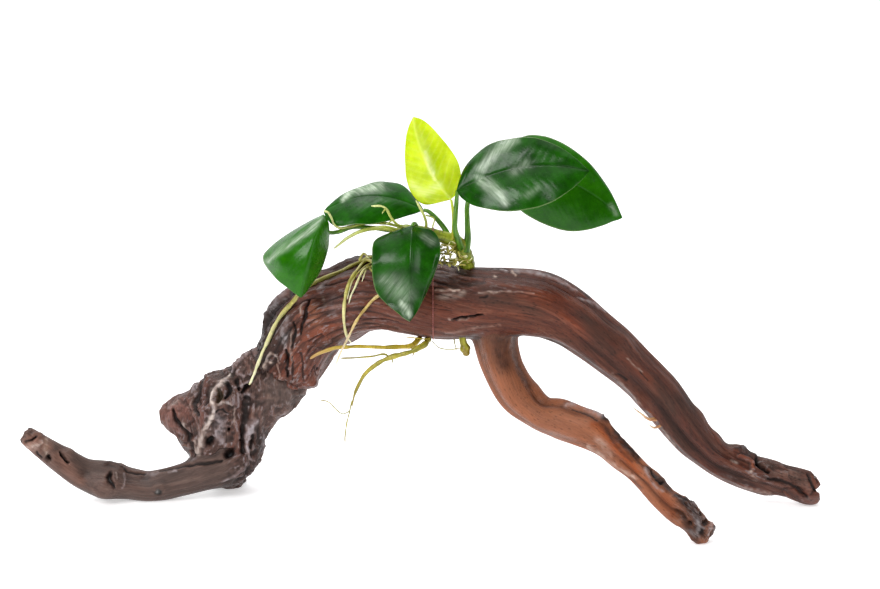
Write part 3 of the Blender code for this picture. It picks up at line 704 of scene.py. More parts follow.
arch_wood = grow_together("driftwood_arch_and_leg", arch_limbs, ARCH_VOXEL)
spots, way, nearest = settle(arch_wood, arch_limbs, ARCH_BLEND, arch_ends)
print("arch and leg:", len(spots), "points on the blended form")

# %% [markdown]
# Where bark, roughness and red wood lie is told as soft patches: x and height of the middle, half width,
# half height and strength. The marks follow, from left to right. A tint is a mask's name and its strength:
# pale is worn pale wood and painted glints, frost is bleached wood with painted highlights and reflections,
# bark is dark bark and some painted shade, pit is painted shade in holes and cracks, and warm, amber and
# tan are the wood's reds.

# %% Carve the arch and the leg
BARK_PLATES = [
    (-62, 77, 9, 15, 1), (-66, 60, 6, 9, 1), (-30, 101, 14, 4, 0.7), (-5, 101, 16, 2.4, 0.4),
]
ROUGH_ARCH = [(-60, 62, 22, 40, 1), (-30, 90, 24, 26, 0.75), (12, 98, 14, 5, 0.9), (138, 16, 12, 12, 0.8)]
RED_ARCH = [(3, 85, 9, 14, 0.8), (52, 90, 20, 3.5, 0.9), (34, 82, 16, 2.5, 0.5), (62, 74, 12, 4, 0.5),
            (88, 48, 12, 20, 0.25), (-52, 62, 5, 6, 0.5)]
LEG_END = [(105, 14, 7, 8, 0.7), (108, 6, 8, 8, 0.6)]
GLINT_ON_TOP = [(8, 99, 22, 5, 1), (34, 92, 22, 6, 1)]
PLATE_HEIGHT, SPLIT_DEPTH = 1.4 * MM, 0.8 * MM
ARCH_MARKS = [
    # the torn sleeve on the left: its bark plate and grooves, and painted highlights on its wet ridges
    (0.5, {"highlight_and_bleach": 0.5}, [(288, 292, 1.4), (280, 302, 1.5), (272, 313, 1.5), (268, 320, 1.2)]),
    (-0.8, {"bark_and_shade": 1}, [(293, 291, 1.5), (285, 303, 2), (277, 314, 2), (271, 324, 2), (266, 333, 1.5)]),
    (0.4, {"highlight_and_bleach": 0.55}, [(288, 317, 1.8), (286, 328, 3), (285, 338, 3), (286, 347, 2)]),
    (-1.2, {"pit": 0.85}, [(293, 322, 0.9), (295, 330, 1.3), (294, 338, 1.5), (292, 346, 1.2)]),
    (0.2, {"pale_wear_and_glint": 0.4}, [(292, 332, 0.7), (291, 345, 0.8), (290, 354, 0.7)]),
    (-1.5, {"bark_and_shade": 0.95}, [(309, 300, 1.4), (306, 310, 1.8), (304, 319, 2), (302, 327, 1.5),
                            (301, 334, 1)]),
    (0.3, {"pale_wear_and_glint": 0.5}, [(303, 302, 0.8), (301, 308, 1.1), (301, 314, 0.9)]),
    (-1.4, {"pit": 0.85}, [(287, 350, 1.4), (288, 358, 1.6), (287, 367, 1.6), (288, 376, 1.3)]),
    (0.2, {"pale_wear_and_glint": 0.3}, [(291, 350, 0.7), (292, 362, 0.8), (290, 373, 0.7)]),
    (0, {"warm": 0.65}, [(267, 362, 6), (273, 372, 7), (282, 366, 5)]),
    (0.6, {"pale_wear_and_glint": 0.45}, [(269, 360, 0.8), (273, 353, 1.1), (278, 356, 0.9), (280, 363, 0.7)]),
    (0.5, {"pale_wear_and_glint": 0.45}, [(271, 357, 0.8), (268, 365, 1.2), (264, 374, 1.2)]),
    (0.5, {"pale_wear_and_glint": 1}, [(272, 363, 1.5)]),
    (0.5, {"pale_wear_and_glint": 0.9}, [(264, 374, 1.5)]),
    (0.4, {"pale_wear_and_glint": 0.4}, [(278, 363, 0.7), (279, 371, 0.8), (280, 379, 0.7)]),
    (0.5, {"pale_wear_and_glint": 0.5}, [(274, 373, 1.2)]),
    (0, {"bark_and_shade": 0.9}, [(260, 380, 5), (270, 386, 5), (282, 390, 4)]),
    (0, {"tan": 0.45}, [(313, 306, 5), (315, 316, 6), (318, 324, 5)]),
    (0, {"warm": 0.5}, [(308, 338, 7), (320, 332, 8), (332, 326, 6)]),
    (0.4, {"highlight_and_bleach": 0.6}, [(326, 282, 2), (322, 287, 2.5), (320, 292, 1.8)]),
    (0, {"pale_wear_and_glint": 0.5}, [(322, 297, 1.4), (325, 304, 1.8)]),
    (0, {"highlight_and_bleach": 0.25}, [(333, 300, 6), (334, 312, 5)]),
    (-0.6, {"bark_and_shade": 0.8}, [(292, 356, 0.9), (293, 368, 1), (293, 380, 1)]),
    (-0.6, {"bark_and_shade": 0.7}, [(301, 352, 0.8), (303, 366, 0.9), (304, 382, 1)]),
    (1.3, {"bark_and_shade": 0.5}, [(314, 383, 4.5)]),
    (-0.8, {"pit": 0.6}, [(317, 368, 1.6)]),
    (0, {"highlight_and_bleach": 0.2}, [(322, 360, 6), (316, 372, 4)]),
    (0, {"bark_and_shade": 0.6}, [(328, 267, 6), (340, 264, 6), (350, 262, 5)]),
    (0.3, {"highlight_and_bleach": 0.9}, [(344, 261, 0.9), (349, 260, 0.8)]),
    # the arch's top: its dark rim, a grey band of painted reflection and the red speckled band beneath
    (0, {"bark_and_shade": 1}, [(440, 264.5, 1.6), (455, 266, 1.6), (472, 268, 1.6), (490, 269, 2),
                      (500, 269, 2.8), (507, 270, 2.2)]),
    (0.3, {"highlight_and_bleach": 0.45}, [(440, 271, 5), (452, 272, 6), (464, 272, 4)]),
    (0, {"bark_and_shade": 0.5}, [(466, 274, 3), (474, 276, 3)]),
    (0.5, {"highlight_and_bleach": 1}, [(500, 269.5, 0.9), (504, 271, 1.2), (508, 272.5, 0.9)]),
    (0.3, {"pale_wear_and_glint": 0.7}, [(512, 272, 1), (516, 275, 1.1)]),
    (0.4, {"highlight_and_bleach": 0.8}, [(512, 271, 1.8), (526, 272, 2.2), (540, 274.5, 2.4), (552, 278.5, 2.2),
                           (562, 282.5, 2),
                           (576, 291, 1.8)]),
    (0, {"bark_and_shade": 1}, [(546, 273, 1.4), (556, 275, 1.5), (566, 280, 1.7), (576, 286, 1.5), (590, 297, 1.2)]),
    (0, {"warm": 0.85, "bark_and_shade": 0.65}, [(478, 274, 4), (494, 277, 5), (510, 280, 6), (530, 283, 6.5),
                                       (550, 287, 6), (566, 293, 5)]),
    (0.3, {"pale_wear_and_glint": 0.8}, [(494, 276.5, 1.1), (497, 277.5, 1)]),
    (-0.6, {"bark_and_shade": 0.5}, [(440, 283, 3.5), (456, 284, 4), (470, 283, 3.5), (484, 281, 3)]),
    (0.5, {"pale_wear_and_glint": 0.75}, [(436, 290, 1.2), (448, 290.5, 1.6), (460, 290.5, 1.2)]),
    (0, {"pale_wear_and_glint": 0.5}, [(439, 297, 2), (449, 295.5, 3.4), (458, 294.5, 3.4), (464, 292, 2)]),
    (0.2, {"pale_wear_and_glint": 0.45}, [(479, 293, 1.1), (490, 292.4, 1.9), (500, 292, 1.7)]),
    (0.2, {"pale_wear_and_glint": 0.3}, [(498, 291.6, 1.1), (512, 291.6, 1), (534, 293, 0.7)]),
    (-0.4, {"bark_and_shade": 0.6}, [(480, 297.5, 0.8), (488, 296, 1)]),
    (-2.2, {"pit": 1}, [(452, 319.5, 0.6), (460, 318.4, 1.1), (469, 317, 1.1), (477, 316, 0.9),
                        (483, 315.4, 0.5)]),
    (0.3, {"pale_wear_and_glint": 0.7}, [(449, 318.5, 0.9), (453, 319.5, 0.8)]),
    (0, {"pale_wear_and_glint": 0.35}, [(458, 320, 1), (468, 318.5, 1)]),
    (0, {"warm": 0.6}, [(428, 292, 4), (431, 308, 4.5), (432, 324, 4)]),
    (0, {"warm": 0.4}, [(446, 326, 4), (458, 328, 3.5)]),
    (0, {"warm": 0.45}, [(498, 315, 3), (512, 315, 3.5), (526, 318, 3)]),
    (0.2, {"pale_wear_and_glint": 0.2}, [(446, 333, 1.3), (462, 331, 1.6), (480, 327, 1.4), (500, 325, 1.2)]),
    (0, {"highlight_and_bleach": 0.45}, [(434, 337, 1.8), (448, 339, 2), (464, 338, 1.8), (482, 334, 1.4)]),
    # the arch's right half, darker towards the tip
    (0, {"bark_and_shade": 0.42}, [(600, 340, 18), (630, 370, 22), (670, 415, 20), (700, 455, 17), (740, 475, 13),
                         (790, 485, 13)]),
    (0.3, {"highlight_and_bleach": 0.7}, [(578, 298, 1), (590, 302, 1.6), (598, 307, 1.6), (605, 312, 1)]),
    (0, {"warm": 0.55}, [(560, 313, 3), (572, 322, 4), (584, 330, 3)]),
    (0, {"warm": 0.5, "bark_and_shade": 0.2}, [(620, 357, 6), (636, 368, 7), (650, 380, 5)]),
    (-0.5, {"bark_and_shade": 0.9}, [(618, 374, 1.4), (626, 380, 2)]),
    (-0.3, {"bark_and_shade": 0.8}, [(640, 372, 0.8), (648, 381, 0.9)]),
    (0, {"pale_wear_and_glint": 0.35}, [(628, 359, 0.7), (636, 367, 0.7), (642, 372, 0.6)]),
    (0, {"pale_wear_and_glint": 0.3}, [(612, 373, 1.2), (622, 384, 1.4), (632, 395, 1.4), (641, 404, 1.3)]),
    (0, {"bark_and_shade": 0.45}, [(676, 396, 5), (690, 410, 7), (702, 430, 7), (716, 450, 5)]),
    (0, {"amber": 0.9}, [(649, 411, 1.3), (653, 417, 1.4), (656, 423, 1)]),
    (0.3, {"pale_wear_and_glint": 0.5}, [(663, 429, 0.8), (669, 437, 1), (676, 446, 0.8)]),
    # the right tip: the flap of bark with the hollow behind it, and the fanned, forked end
    (1.0, {"bark_and_shade": 0.95}, [(733, 449, 1.2), (740, 448.5, 1.8), (747, 451, 2.2), (753, 455, 2),
                           (758, 459.5, 1.4)]),
    (0, {"highlight_and_bleach": 0.45}, [(742, 453, 1.1), (748, 455.5, 1.1)]),
    (1.3, {"warm": 0.35}, [(740, 456, 2), (748, 459, 2.6), (753, 463, 2.6)]),
    (0.8, {"amber": 0.6}, [(752, 463, 1.8), (753, 469, 1.8)]),
    (-2.8, {"pit": 1}, [(757, 459, 1.8), (759, 464, 3), (763, 468, 2.6), (769, 472.5, 1.2)]),
    (0.6, {"pale_wear_and_glint": 1}, [(751, 471.5, 1.5)]),
    (0, {"pale_wear_and_glint": 0.6}, [(732, 460, 1.1), (737, 462.5, 1.2)]),
    (0, {"pale_wear_and_glint": 0.5}, [(753, 476, 1), (757, 480, 1), (754, 481, 0.8)]),
    (0.2, {"pale_wear_and_glint": 0.35}, [(724, 483, 1), (740, 486.5, 1.2), (757, 490.5, 1.2), (771, 494, 1.2)]),
    (-1.3, {"bark_and_shade": 0.8}, [(768, 479, 1.4), (780, 480, 2), (790, 484, 2.2), (799, 490, 2.4),
                           (807, 497, 1.8)]),
    (0.4, {"pale_wear_and_glint": 0.1}, [(776, 473, 3.5), (792, 475, 4.5), (804, 482, 5), (809, 490, 3)]),
    (-1.0, {"pit": 0.8}, [(808, 474, 1.2), (811, 482, 1.5), (814.5, 489.5, 1.5)]),
    (-0.5, {"pit": 0.6}, [(814, 475, 0.8), (817, 482, 0.9)]),
    (0, {"highlight_and_bleach": 0.2}, [(800, 498, 3), (810, 500, 4), (817, 499, 3)]),
    (0, {"bark_and_shade": 0.4}, [(690, 430, 13), (715, 455, 13), (745, 475, 11), (775, 485, 8), (806, 500, 7)]),
    (0, {"bark_and_shade": 0.7}, [(784, 488, 3), (792, 494, 3), (800, 501, 2.5)]),
]
LEG_MARKS = [
    # painted shade on the leg's top, where it runs under the arch's belly
    (0, {"bark_and_shade": 0.7}, [(488, 333, 14), (496, 340, 15), (499, 352, 14), (504, 364, 10)]),
    (0, {"bark_and_shade": 0.45}, [(511, 340, 5), (514, 356, 5), (520, 372, 4), (529, 386, 3)]),
    (0.8, {"highlight_and_bleach": 0.9}, [(566, 405, 2.2), (575, 403.5, 3), (585, 406, 3.2), (594, 411, 3.4),
                           (601, 417, 2)]),
    (-0.4, {"bark_and_shade": 0.6}, [(572, 410, 0.9), (585, 413, 1.2), (597, 420, 1.2)]),
    (0.9, {"bark_and_shade": 1}, [(601, 419, 2.4), (610, 423, 3.2), (614, 429, 3.5), (617, 437, 3.4),
                        (623, 444, 3.4), (630, 452, 3.4), (637, 459, 2.8)]),
    (0, {"bark_and_shade": 0.6}, [(606, 427, 1.5), (612, 440, 1.8), (622, 452, 1.8), (632, 461, 1.5)]),
    (0.7, {"bark_and_shade": 0.9}, [(646, 468, 2), (653, 475, 4.2), (661, 482, 5), (668, 489, 4)]),
    (-1.4, {"pit": 1}, [(651, 471.5, 1.3), (655, 477, 1.7)]),
    (-1.4, {"pit": 1}, [(656, 480.5, 1.3), (661, 484, 1.4)]),
    (0.3, {"highlight_and_bleach": 0.5}, [(644, 468, 0.9), (649, 477, 1.1), (655, 486, 1.3), (663, 491.5, 1.1)]),
    (0, {"highlight_and_bleach": 0.25}, [(660, 476, 1.5), (667, 484, 1.5)]),
    (0.5, {"bark_and_shade": 1}, [(674, 496, 2.4), (683, 499, 3), (692, 502, 3.5), (698, 505, 2.5)]),
    (0, {"bark_and_shade": 0.95}, [(680, 500, 5), (690, 509, 8), (698, 520, 10), (700, 532, 8)]),
    (0, {"bark_and_shade": 0.85}, [(684, 518, 5), (690, 530, 7), (696, 540, 6)]),
    (0.4, {"highlight_and_bleach": 0.55}, [(692, 503, 1.5), (703, 509, 2), (712, 519, 2), (713, 527, 1.6)]),
    (0.4, {"highlight_and_bleach": 0.45}, [(694, 515, 2), (699, 525, 2.4), (697, 534, 2)]),
    (-1.8, {"pit": 1}, [(702, 512, 2.6)]),
    (-2.0, {"pit": 1}, [(706.5, 521.5, 3.2)]),
    (-1.6, {"pit": 0.95}, [(703, 531, 3)]),
    (-1.2, {"pit": 0.8}, [(690, 523, 2)]),
    (0.3, {"highlight_and_bleach": 0.9}, [(712, 519, 0.9), (711, 527, 1), (708, 535, 1)]),
    (0, {"bark_and_shade": 1}, [(715, 521, 1.3), (713.5, 529, 1.4), (710.5, 538, 1.2)]),
    (0, {"highlight_and_bleach": 0.4}, [(682, 529, 1.5), (692, 533, 1.8), (700, 538, 1.5)]),
    (0, {"amber": 0.85}, [(592, 424, 3), (600, 427, 4.5), (608, 436, 4.5)]),
    (0, {"amber": 1}, [(612, 442, 5), (621, 453, 5.5), (630, 463, 5), (638, 472, 3.5)]),
    (0, {"amber": 0.7, "bark_and_shade": 0.25}, [(662, 497, 5), (668, 505, 6), (673, 514, 4)]),
    (0, {"amber": 0.35}, [(646, 478, 4), (652, 488, 5)]),
    (0.2, {"pale_wear_and_glint": 0.45}, [(598, 440, 3.5), (605, 447, 3.5), (611, 455, 2.5)]),
    (0.3, {"pale_wear_and_glint": 0.6}, [(588, 446, 1.6), (600, 454, 2), (612, 464, 2.2), (624, 471, 2), (636, 478, 1.8)]),
    (0, {"bark_and_shade": 0.5}, [(589, 451, 1), (604, 461, 1), (618, 472, 1.1), (632, 479.5, 1), (641, 489, 1)]),
]
zone = patches(spots, ROUGH_ARCH)
grain = grain_coordinates(arch_limbs, nearest, spots, ARCH_WIND)
long_fibres = fibres(
    grain, [(5.0, 14, 0.2, 0), (2.4, 16, 0.14, 0), (1.3, 18, -0.09, 0.9), (0.9, 15, 0.08, 0)], 20)
torn_fibres = fibres(grain, [(4.6, 5, 0.9, 0.8), (2.6, 6, -0.7, 0.8), (1.3, 5, 0.3, 0)], 30)
splits = cracks(grain, 3.0, 16, 0.10, 40)
plates = patches(spots, BARK_PLATES) * step_up(noise(stretched(grain, 3), 5 * MM, 44), -0.35, -0.1)
on_leg = nearest == len(arch_limbs) - 1
arch_lift, arch_masks = draw_marks(spots, way, ARCH_MARKS, ~on_leg)
leg_lift, leg_masks = draw_marks(spots, way, LEG_MARKS, on_leg)
masks = {name: np.maximum(arch_masks.get(name, 0), leg_masks.get(name, 0))
         for name in {**arch_masks, **leg_masks}}
leg_end = patches(spots, LEG_END) * step_up(noise(stretched(grain, 2), 3 * MM, 47), -0.6, -0.2) * on_leg
arch_relief = long_fibres * np.where(on_leg, 0.35, 1 - 0.3 * zone) + torn_fibres * zone
arch_relief += PLATE_HEIGHT * plates - SPLIT_DEPTH * splits * (0.4 + 0.6 * zone) + arch_lift + leg_lift
torn_bark = (plates + 0.8 * masks["bark_and_shade"] * on_leg + 0.7 * leg_end) * 0.5 * MM
arch_relief += torn_bark * noise(spots, 1.8 * MM, 48)
shaped = spots + way * arch_relief[:, None]
top_edge = step_up(way[:, 2] + 0.3 * noise(stretched(grain, 4), 4 * MM, 49), 0.65, 0.98) * ~on_leg
# an upward-facing band on the arch's top, where painted glints lie
top_glint_band = patches(spots, GLINT_ON_TOP) * step_up(way[:, 2], 0.2, 0.7) * 0.7
finish_wood(arch_wood, shaped, {
    "grain": grain,
    "pit": masks["pit"],
    # bark plates, the leg's torn end and the darker top edge, with the painted shade from the marks
    "bark_and_shade": np.maximum(masks["bark_and_shade"], (plates + 0.8 * leg_end + 0.3 * top_edge).clip(0, 1)),
    "warm": np.maximum(masks["warm"], patches(spots, RED_ARCH) * ~on_leg * 0.6),
    "tan": np.maximum(masks["tan"], step_up(on_leg * 1.0, 0.2, 0.8)),
    "pale_wear_and_glint": masks["pale_wear_and_glint"],
    "amber": masks["amber"],
    "highlight_and_bleach": masks["highlight_and_bleach"],
    "glint": np.maximum(np.maximum(zone, 0.8 * top_glint_band), 0.8 * leg_end),
})
thin_out(arch_wood, MOST_TRIANGLES)
hand_in(arch_wood, "dark_wood", "driftwood_arch", "driftwood_front_leg")

# %% [markdown]
# Under the arch's right half a few splinters stand off the edge, where a strip of wood was torn away. They
# are thin tapering tubes, rooted in the wood. Their lines are written down here, and the helper that grows
# the roots turns them into tubes further down.

# %% The torn splinters
SPLINTERS = [
    [(97, 5, 36.5, 0.7), (93, 3.8, 36.8, 0.6), (89.8, 4.5, 38.8, 0.4), (87.4, 5.5, 40.4, 0.25),
     (85.8, 6, 41.6, 0.08)],
    [(95, 4.4, 37, 0.5), (91.6, 4, 37.2, 0.35), (90, 4.6, 38.6, 0.15)],
    [(98.5, 5, 34, 0.6), (94.8, 4.2, 33.2, 0.45), (92.4, 4.6, 34.6, 0.12)],
]

print("splinters:", len(SPLINTERS))

# %% [markdown]
# The stump under the sleeve is a burl: wood that grew in knots. Its limbs are melted together in the same
# way, then folded by noise that follows no grain. A pale worn ridge winds down its front, with holes beside
# it. The thin left arm grows out of its foot, so both are one piece.

# %% The stump and the left arm
ARM_KNOBS = [
    (0.12, 40, 6, 1.2), (0.2, 75, 5, 1.3), (0.3, 20, 7, -1.3), (0.4, -20, 10, 1.6), (0.45, 90, 6, 1.3),
    (0.56, 80, 7, -1.2), (0.62, 10, 5, 1.2), (0.8, 60, 9, 1.2),
]
STUMP_VOXEL = 0.41 * MM
STUMP_BLEND = 1.7 * MM
ARM_WIND = 5
ARM_FADES = (-83 * MM, -73.5 * MM)
SMOOTH_NECK = (-58, 47, 9, 9, 1)
STUMP_MARKS = [
    # the worn ridge down the stump's front, the amber hollow beside it and the holes
    (0.8, {"highlight_and_bleach": 0.5}, [(254, 352, 1), (240, 361, 1.3), (231, 371, 1.5)]),
    (0.7, {"pale_wear_and_glint": 1}, [(229, 374, 1.4), (226, 380, 2.4), (219, 385, 3.2), (213, 392, 2.6),
                        (211, 399, 1.7), (214, 406, 2.2),
                       (214, 412, 1.5), (210, 419, 2.2), (206, 427, 1.6)]),
    (0.6, {"pale_wear_and_glint": 0.6}, [(205, 429, 2), (202, 440, 2.8), (198, 453, 3)]),
    (-2.2, {"amber": 1}, [(219, 390, 2.2), (220, 396, 3), (218, 402, 2)]),
    (-2.2, {"pit": 0.95}, [(227, 384, 2.2), (230, 390, 2.8), (225, 397, 1.8)]),
    (0.3, {"highlight_and_bleach": 0.5}, [(216, 415, 3.5), (220, 423, 5.5), (218, 433, 5.5), (222, 441, 3)]),
    (-3.2, {"pit": 1}, [(209, 442, 3.8), (211, 440, 3.8)]),
    (-1.5, {"pit": 1}, [(229, 429.5, 1.8)]),
    (-3.4, {"pit": 1}, [(227.5, 454, 4), (230, 453, 4.2)]),
    (-0.6, {"pit": 0.75}, [(216, 411.5, 1), (222, 409, 1.1), (228, 412, 1)]),
    (0.6, {"pale_wear_and_glint": 0.4}, [(216, 405, 1.2), (224, 402, 1.4), (231, 404, 1.2)]),
    # the smooth red-brown rib and the dark groove right of it
    (0.6, {"warm": 0.45}, [(237, 403, 4), (237, 415, 3.2), (238, 430, 3.2), (237, 445, 3.6),
                           (238, 456, 3)]),
    (0.2, {"pale_wear_and_glint": 0.35}, [(234, 405, 1.2), (234, 414, 1.3), (235, 424, 1)]),
    (-1.4, {"bark_and_shade": 0.9}, [(247, 398, 5), (246, 410, 4.4), (244, 422, 3.2), (242, 436, 2.4),
                           (243, 452, 2.2)]),
    (0, {"bark_and_shade": 0.5}, [(250, 402, 6), (262, 404, 5)]),
    # a painted highlight along the bright edge right of the groove
    (1.2, {"highlight_and_bleach": 1}, [(256, 421, 2.8), (251, 428, 3.8), (247, 437, 2.5), (247, 446, 1.9),
                         (249, 459, 1.4)]),
    (-0.9, {"bark_and_shade": 0.8}, [(253, 436, 1.5), (251, 448, 1.5)]),
    (0.3, {"bark_and_shade": 0.6}, [(259, 433, 5), (258, 448, 5), (256, 461, 4)]),
    (0, {"highlight_and_bleach": 0.5}, [(263, 428, 1), (263, 440, 1), (261, 452, 1)]),
    # the horn-shaped knob on the left
    (0, {"horn": 1}, [(166, 414, 8), (176, 410, 9), (186, 408, 8)]),
    (0, {"horn": 0.8}, [(168, 424, 6), (178, 432, 5)]),
    (0, {"pale_wear_and_glint": 0.3}, [(168, 406, 2), (178, 401, 2)]),
    (-2.0, {"pit": 0.9}, [(173, 409, 1.3), (175, 418, 2), (180, 426, 2.2), (186, 433, 2.4),
                          (188, 441, 1.8)]),
    (0, {"warm": 0.45}, [(185, 412, 4), (190, 420, 4)]),
    (0.3, {"pale_wear_and_glint": 0.6}, [(183, 423, 0.9), (186, 430, 1)]),
    # the folds between the knob and the ridge
    (-1.4, {"bark_and_shade": 0.9}, [(203, 377, 2.2), (200, 385, 2.6), (197, 395, 2.6), (195, 405, 2.4),
                           (198, 414, 2)]),
    (0.9, {"warm": 0.5}, [(208, 380, 2), (205, 392, 2.4), (203, 404, 2.4), (203, 416, 3), (202, 425, 2)]),
    (0.5, {"highlight_and_bleach": 0.5}, [(195, 383, 1.4), (192, 392, 1.5)]),
    (0, {"pale_wear_and_glint": 0.3}, [(193, 400, 1), (190, 408, 1)]),
    (-0.8, {"bark_and_shade": 0.8}, [(190, 436, 2.2), (192, 447, 2.2), (195, 455, 1.5)]),
    (0.3, {"pale_wear_and_glint": 0.35}, [(196, 440, 1), (196, 452, 1)]),
    (-1.8, {"pit": 0.9}, [(229, 368, 2.2)]),
    (-1.8, {"pit": 0.9}, [(236, 381, 2.4), (239, 389, 1.8)]),
    (-1.8, {"pit": 0.9}, [(247, 386, 2.6), (243, 392, 1.8)]),
    (1.0, {"highlight_and_bleach": 0.35}, [(238, 373, 3), (243, 376, 2.4)]),
    (0.6, {"highlight_and_bleach": 0.5}, [(233, 389, 0.9), (241, 385, 1.2), (250, 381, 1.2)]),
    (0.9, {"highlight_and_bleach": 0.35}, [(232, 402, 1.8), (238, 398, 2), (246, 394, 2.2), (254, 396, 2)]),
    (0, {"bark_and_shade": 0.45}, [(215, 377, 4), (222, 373, 4)]),
    # the foot, and the arm's upper edge
    (0.6, {"highlight_and_bleach": 0.5}, [(246, 462, 1.1), (240, 470, 1.4), (232, 477, 1.4), (222, 481, 1)]),
    (0, {"bark_and_shade": 0.75}, [(225, 485, 4), (240, 480, 5), (250, 470, 5), (257, 460, 4)]),
    (-1.0, {"pit": 0.6}, [(160, 470.5, 1), (175, 467.5, 1.2), (190, 465, 1.4), (208, 462.5, 1.6),
                          (222, 461, 1.4)]),
    (0, {"highlight_and_bleach": 0.4}, [(165, 467, 1), (180, 462, 1.4), (195, 458.5, 1.4)]),
    (0.2, {"highlight_and_bleach": 0.7}, [(168, 472.5, 0.8), (177, 471, 0.8)]),
    (0, {"highlight_and_bleach": 0.45}, [(146, 474.5, 1.4), (152, 474.5, 1.6), (158, 473, 1.2)]),
    (-0.7, {"pit": 0.7}, [(124, 469, 1), (134, 473, 1.2), (146, 473.5, 0.9)]),
    (0.9, {"bark_and_shade": 0.9}, [(104, 464, 1.1), (112, 463.5, 1.4), (119, 466.5, 1.4), (125, 469.5, 1)]),
    (0, {"highlight_and_bleach": 0.5}, [(110, 462, 0.9), (117, 463.5, 1)]),
    # the arm's pits and its torn, pinkish end
    (-2.4, {"pit": 1}, [(48.5, 458.5, 3)]),
    (-2.4, {"pit": 1}, [(60.5, 453, 1.4), (64, 457.5, 2), (68.5, 462.5, 1.3)]),
    (-1.8, {"pit": 0.85}, [(111, 472, 1.3), (109, 479, 2.8), (112, 484, 2), (115, 487.5, 1)]),
    (0.2, {"pale_wear_and_glint": 0.3}, [(116, 472, 0.9), (118, 478, 0.9)]),
    (0.2, {"highlight_and_bleach": 0.35}, [(124, 473, 1), (126, 480, 1.2), (122, 488, 1)]),
    (0, {"bark_and_shade": 0.35}, [(129, 481, 4)]),
    (-0.9, {"pit": 1}, [(158.5, 492.5, 3.2)]),
    (0.9, {"white": 1}, [(158, 492.3, 1.5)]),
    (0, {"tan": 0.9}, [(28, 444, 7), (38, 442, 8), (46, 446, 6)]),
    (0, {"tan": 0.5}, [(56, 456, 6), (68, 468, 7), (80, 480, 6)]),
    (0.3, {"pale_wear_and_glint": 0.45}, [(28, 446, 2.5), (35, 446, 3), (42, 442, 2)]),
    (0.2, {"amber": 0.3, "pale_wear_and_glint": 0.25}, [(46, 440, 2), (46, 448, 2.4), (46, 455, 2)]),
    (-1.2, {"pit": 0.8}, [(25, 442.5, 1.3), (31, 440.5, 1.4), (37, 436.5, 1)]),
    (-0.7, {"pit": 0.7}, [(36, 451, 0.8), (38, 454, 1.1), (42, 457.5, 1)]),
    (0.5, {}, [(34, 435, 2.5), (41, 434, 2.5)]),
]
torn_tip = teeth((1.3, 2.6, 14), (0.5, 1.2, 15))

arm = limb(LEFT_ARM, [(2, 0.5, 30, 0.3), (3, 0.5, -25, 1.2)], ARM_KNOBS)
stump_limbs = [limb(rows) for rows in BURL.values()] + [arm]
stump = grow_together("driftwood_stump_and_arm", stump_limbs, STUMP_VOXEL)
arm_ends = [cut_end((-161.4, 5.6, 31), (-0.76, -0.1, 0.64), 12, torn_tip)]
spots, way, nearest = settle(stump, stump_limbs, STUMP_BLEND, arm_ends)
on_arm = (nearest == len(stump_limbs) - 1) * (1 - step_up(spots[:, 0], *ARM_FADES))
stump_lift, stump_masks = draw_marks(spots, way, STUMP_MARKS, np.ones(len(spots)))
arm_grain = grain_coordinates(stump_limbs, nearest, spots, ARM_WIND)
arm_grain = np.where((on_arm > 0.02)[:, None], arm_grain, spots[:, [2, 0, 1]])
swirl = noises(spots, 9 * MM, 60, 61, 62) * 4 * MM
# the burl's folds in mm, from wide to fine
folds = 1.1 * noise(spots + swirl, 9 * MM, 70) + 0.7 * (1 - 2 * np.abs(noise(spots + swirl, 4.5 * MM, 71)))
folds -= 0.5 * (1 - 2.2 * np.abs(noise(spots + 0.6 * swirl, 5.5 * MM, 74))).clip(0, 1)
folds += 0.4 * noise(spots + swirl, 2.0 * MM, 72) + 0.25 * noise(spots, 1.1 * MM, 73)
arm_fibres = fibres(arm_grain, [(3.2, 10, 0.22, 0), (1.5, 12, 0.12, 0), (0.9, 14, 0.07, 0)], 80)
smooth_neck = patches(spots, [SMOOTH_NECK, (-66, 33, 5, 6, 0.6), (-104, 33, 9, 8, 0.8)])
stump_relief = (1 - on_arm) * (1 - 0.75 * smooth_neck) * folds * MM + (0.4 + 0.6 * on_arm) * arm_fibres
shaped = spots + way * (stump_relief + stump_lift)[:, None]
finish_wood(stump, shaped, {
    "grain": arm_grain + 0.35 * swirl * (1 - on_arm)[:, None],
    "smooth": np.maximum(0.8 * patches(spots, [SMOOTH_NECK]), 0.55 * on_arm),
    "bark_and_shade": np.maximum(stump_masks.pop("bark_and_shade"),
                       patches(spots, [(-83, 3, 12, 4, 0.6), (-92, 44, 6, 5, 0.3)])),
    "glint": (1 - on_arm) * (1 - 0.8 * smooth_neck),
    **stump_masks,
})
thin_out(stump, MOST_TRIANGLES)
hand_in(stump, "grey_wood", "driftwood_burl", "driftwood_left_arm")

# %% [markdown]
# Every living or once living skin here is painted in layers: a base that runs through two or three colours,
# then one colour after another mixed in where a noise or a stored mask says so. Eight short helpers write
# such a layer in a line. Each gives a node together with the output to be read from it.

# %% Helpers for layered materials
def stored(tree, name, output="Fac"):
    """A value or a vector that was kept with the mesh."""
    return add_node(tree, "ShaderNodeAttribute", {"attribute_name": name}), output


def lumps(tree, width, where, **values):
    """Noise with lumps about as wide as width."""
    values["Scale"] = 1 / width
    return add_node(tree, "ShaderNodeTexNoise", {}, values, {"Vector": where}), "Fac"


def squeezed(tree, where, scale):
    """Places shrunk or stretched along their three axes, so that a noise read there is drawn out."""
    return add_node(tree, "ShaderNodeMapping", values={"Scale": scale}, links={"Vector": where}), "Vector"


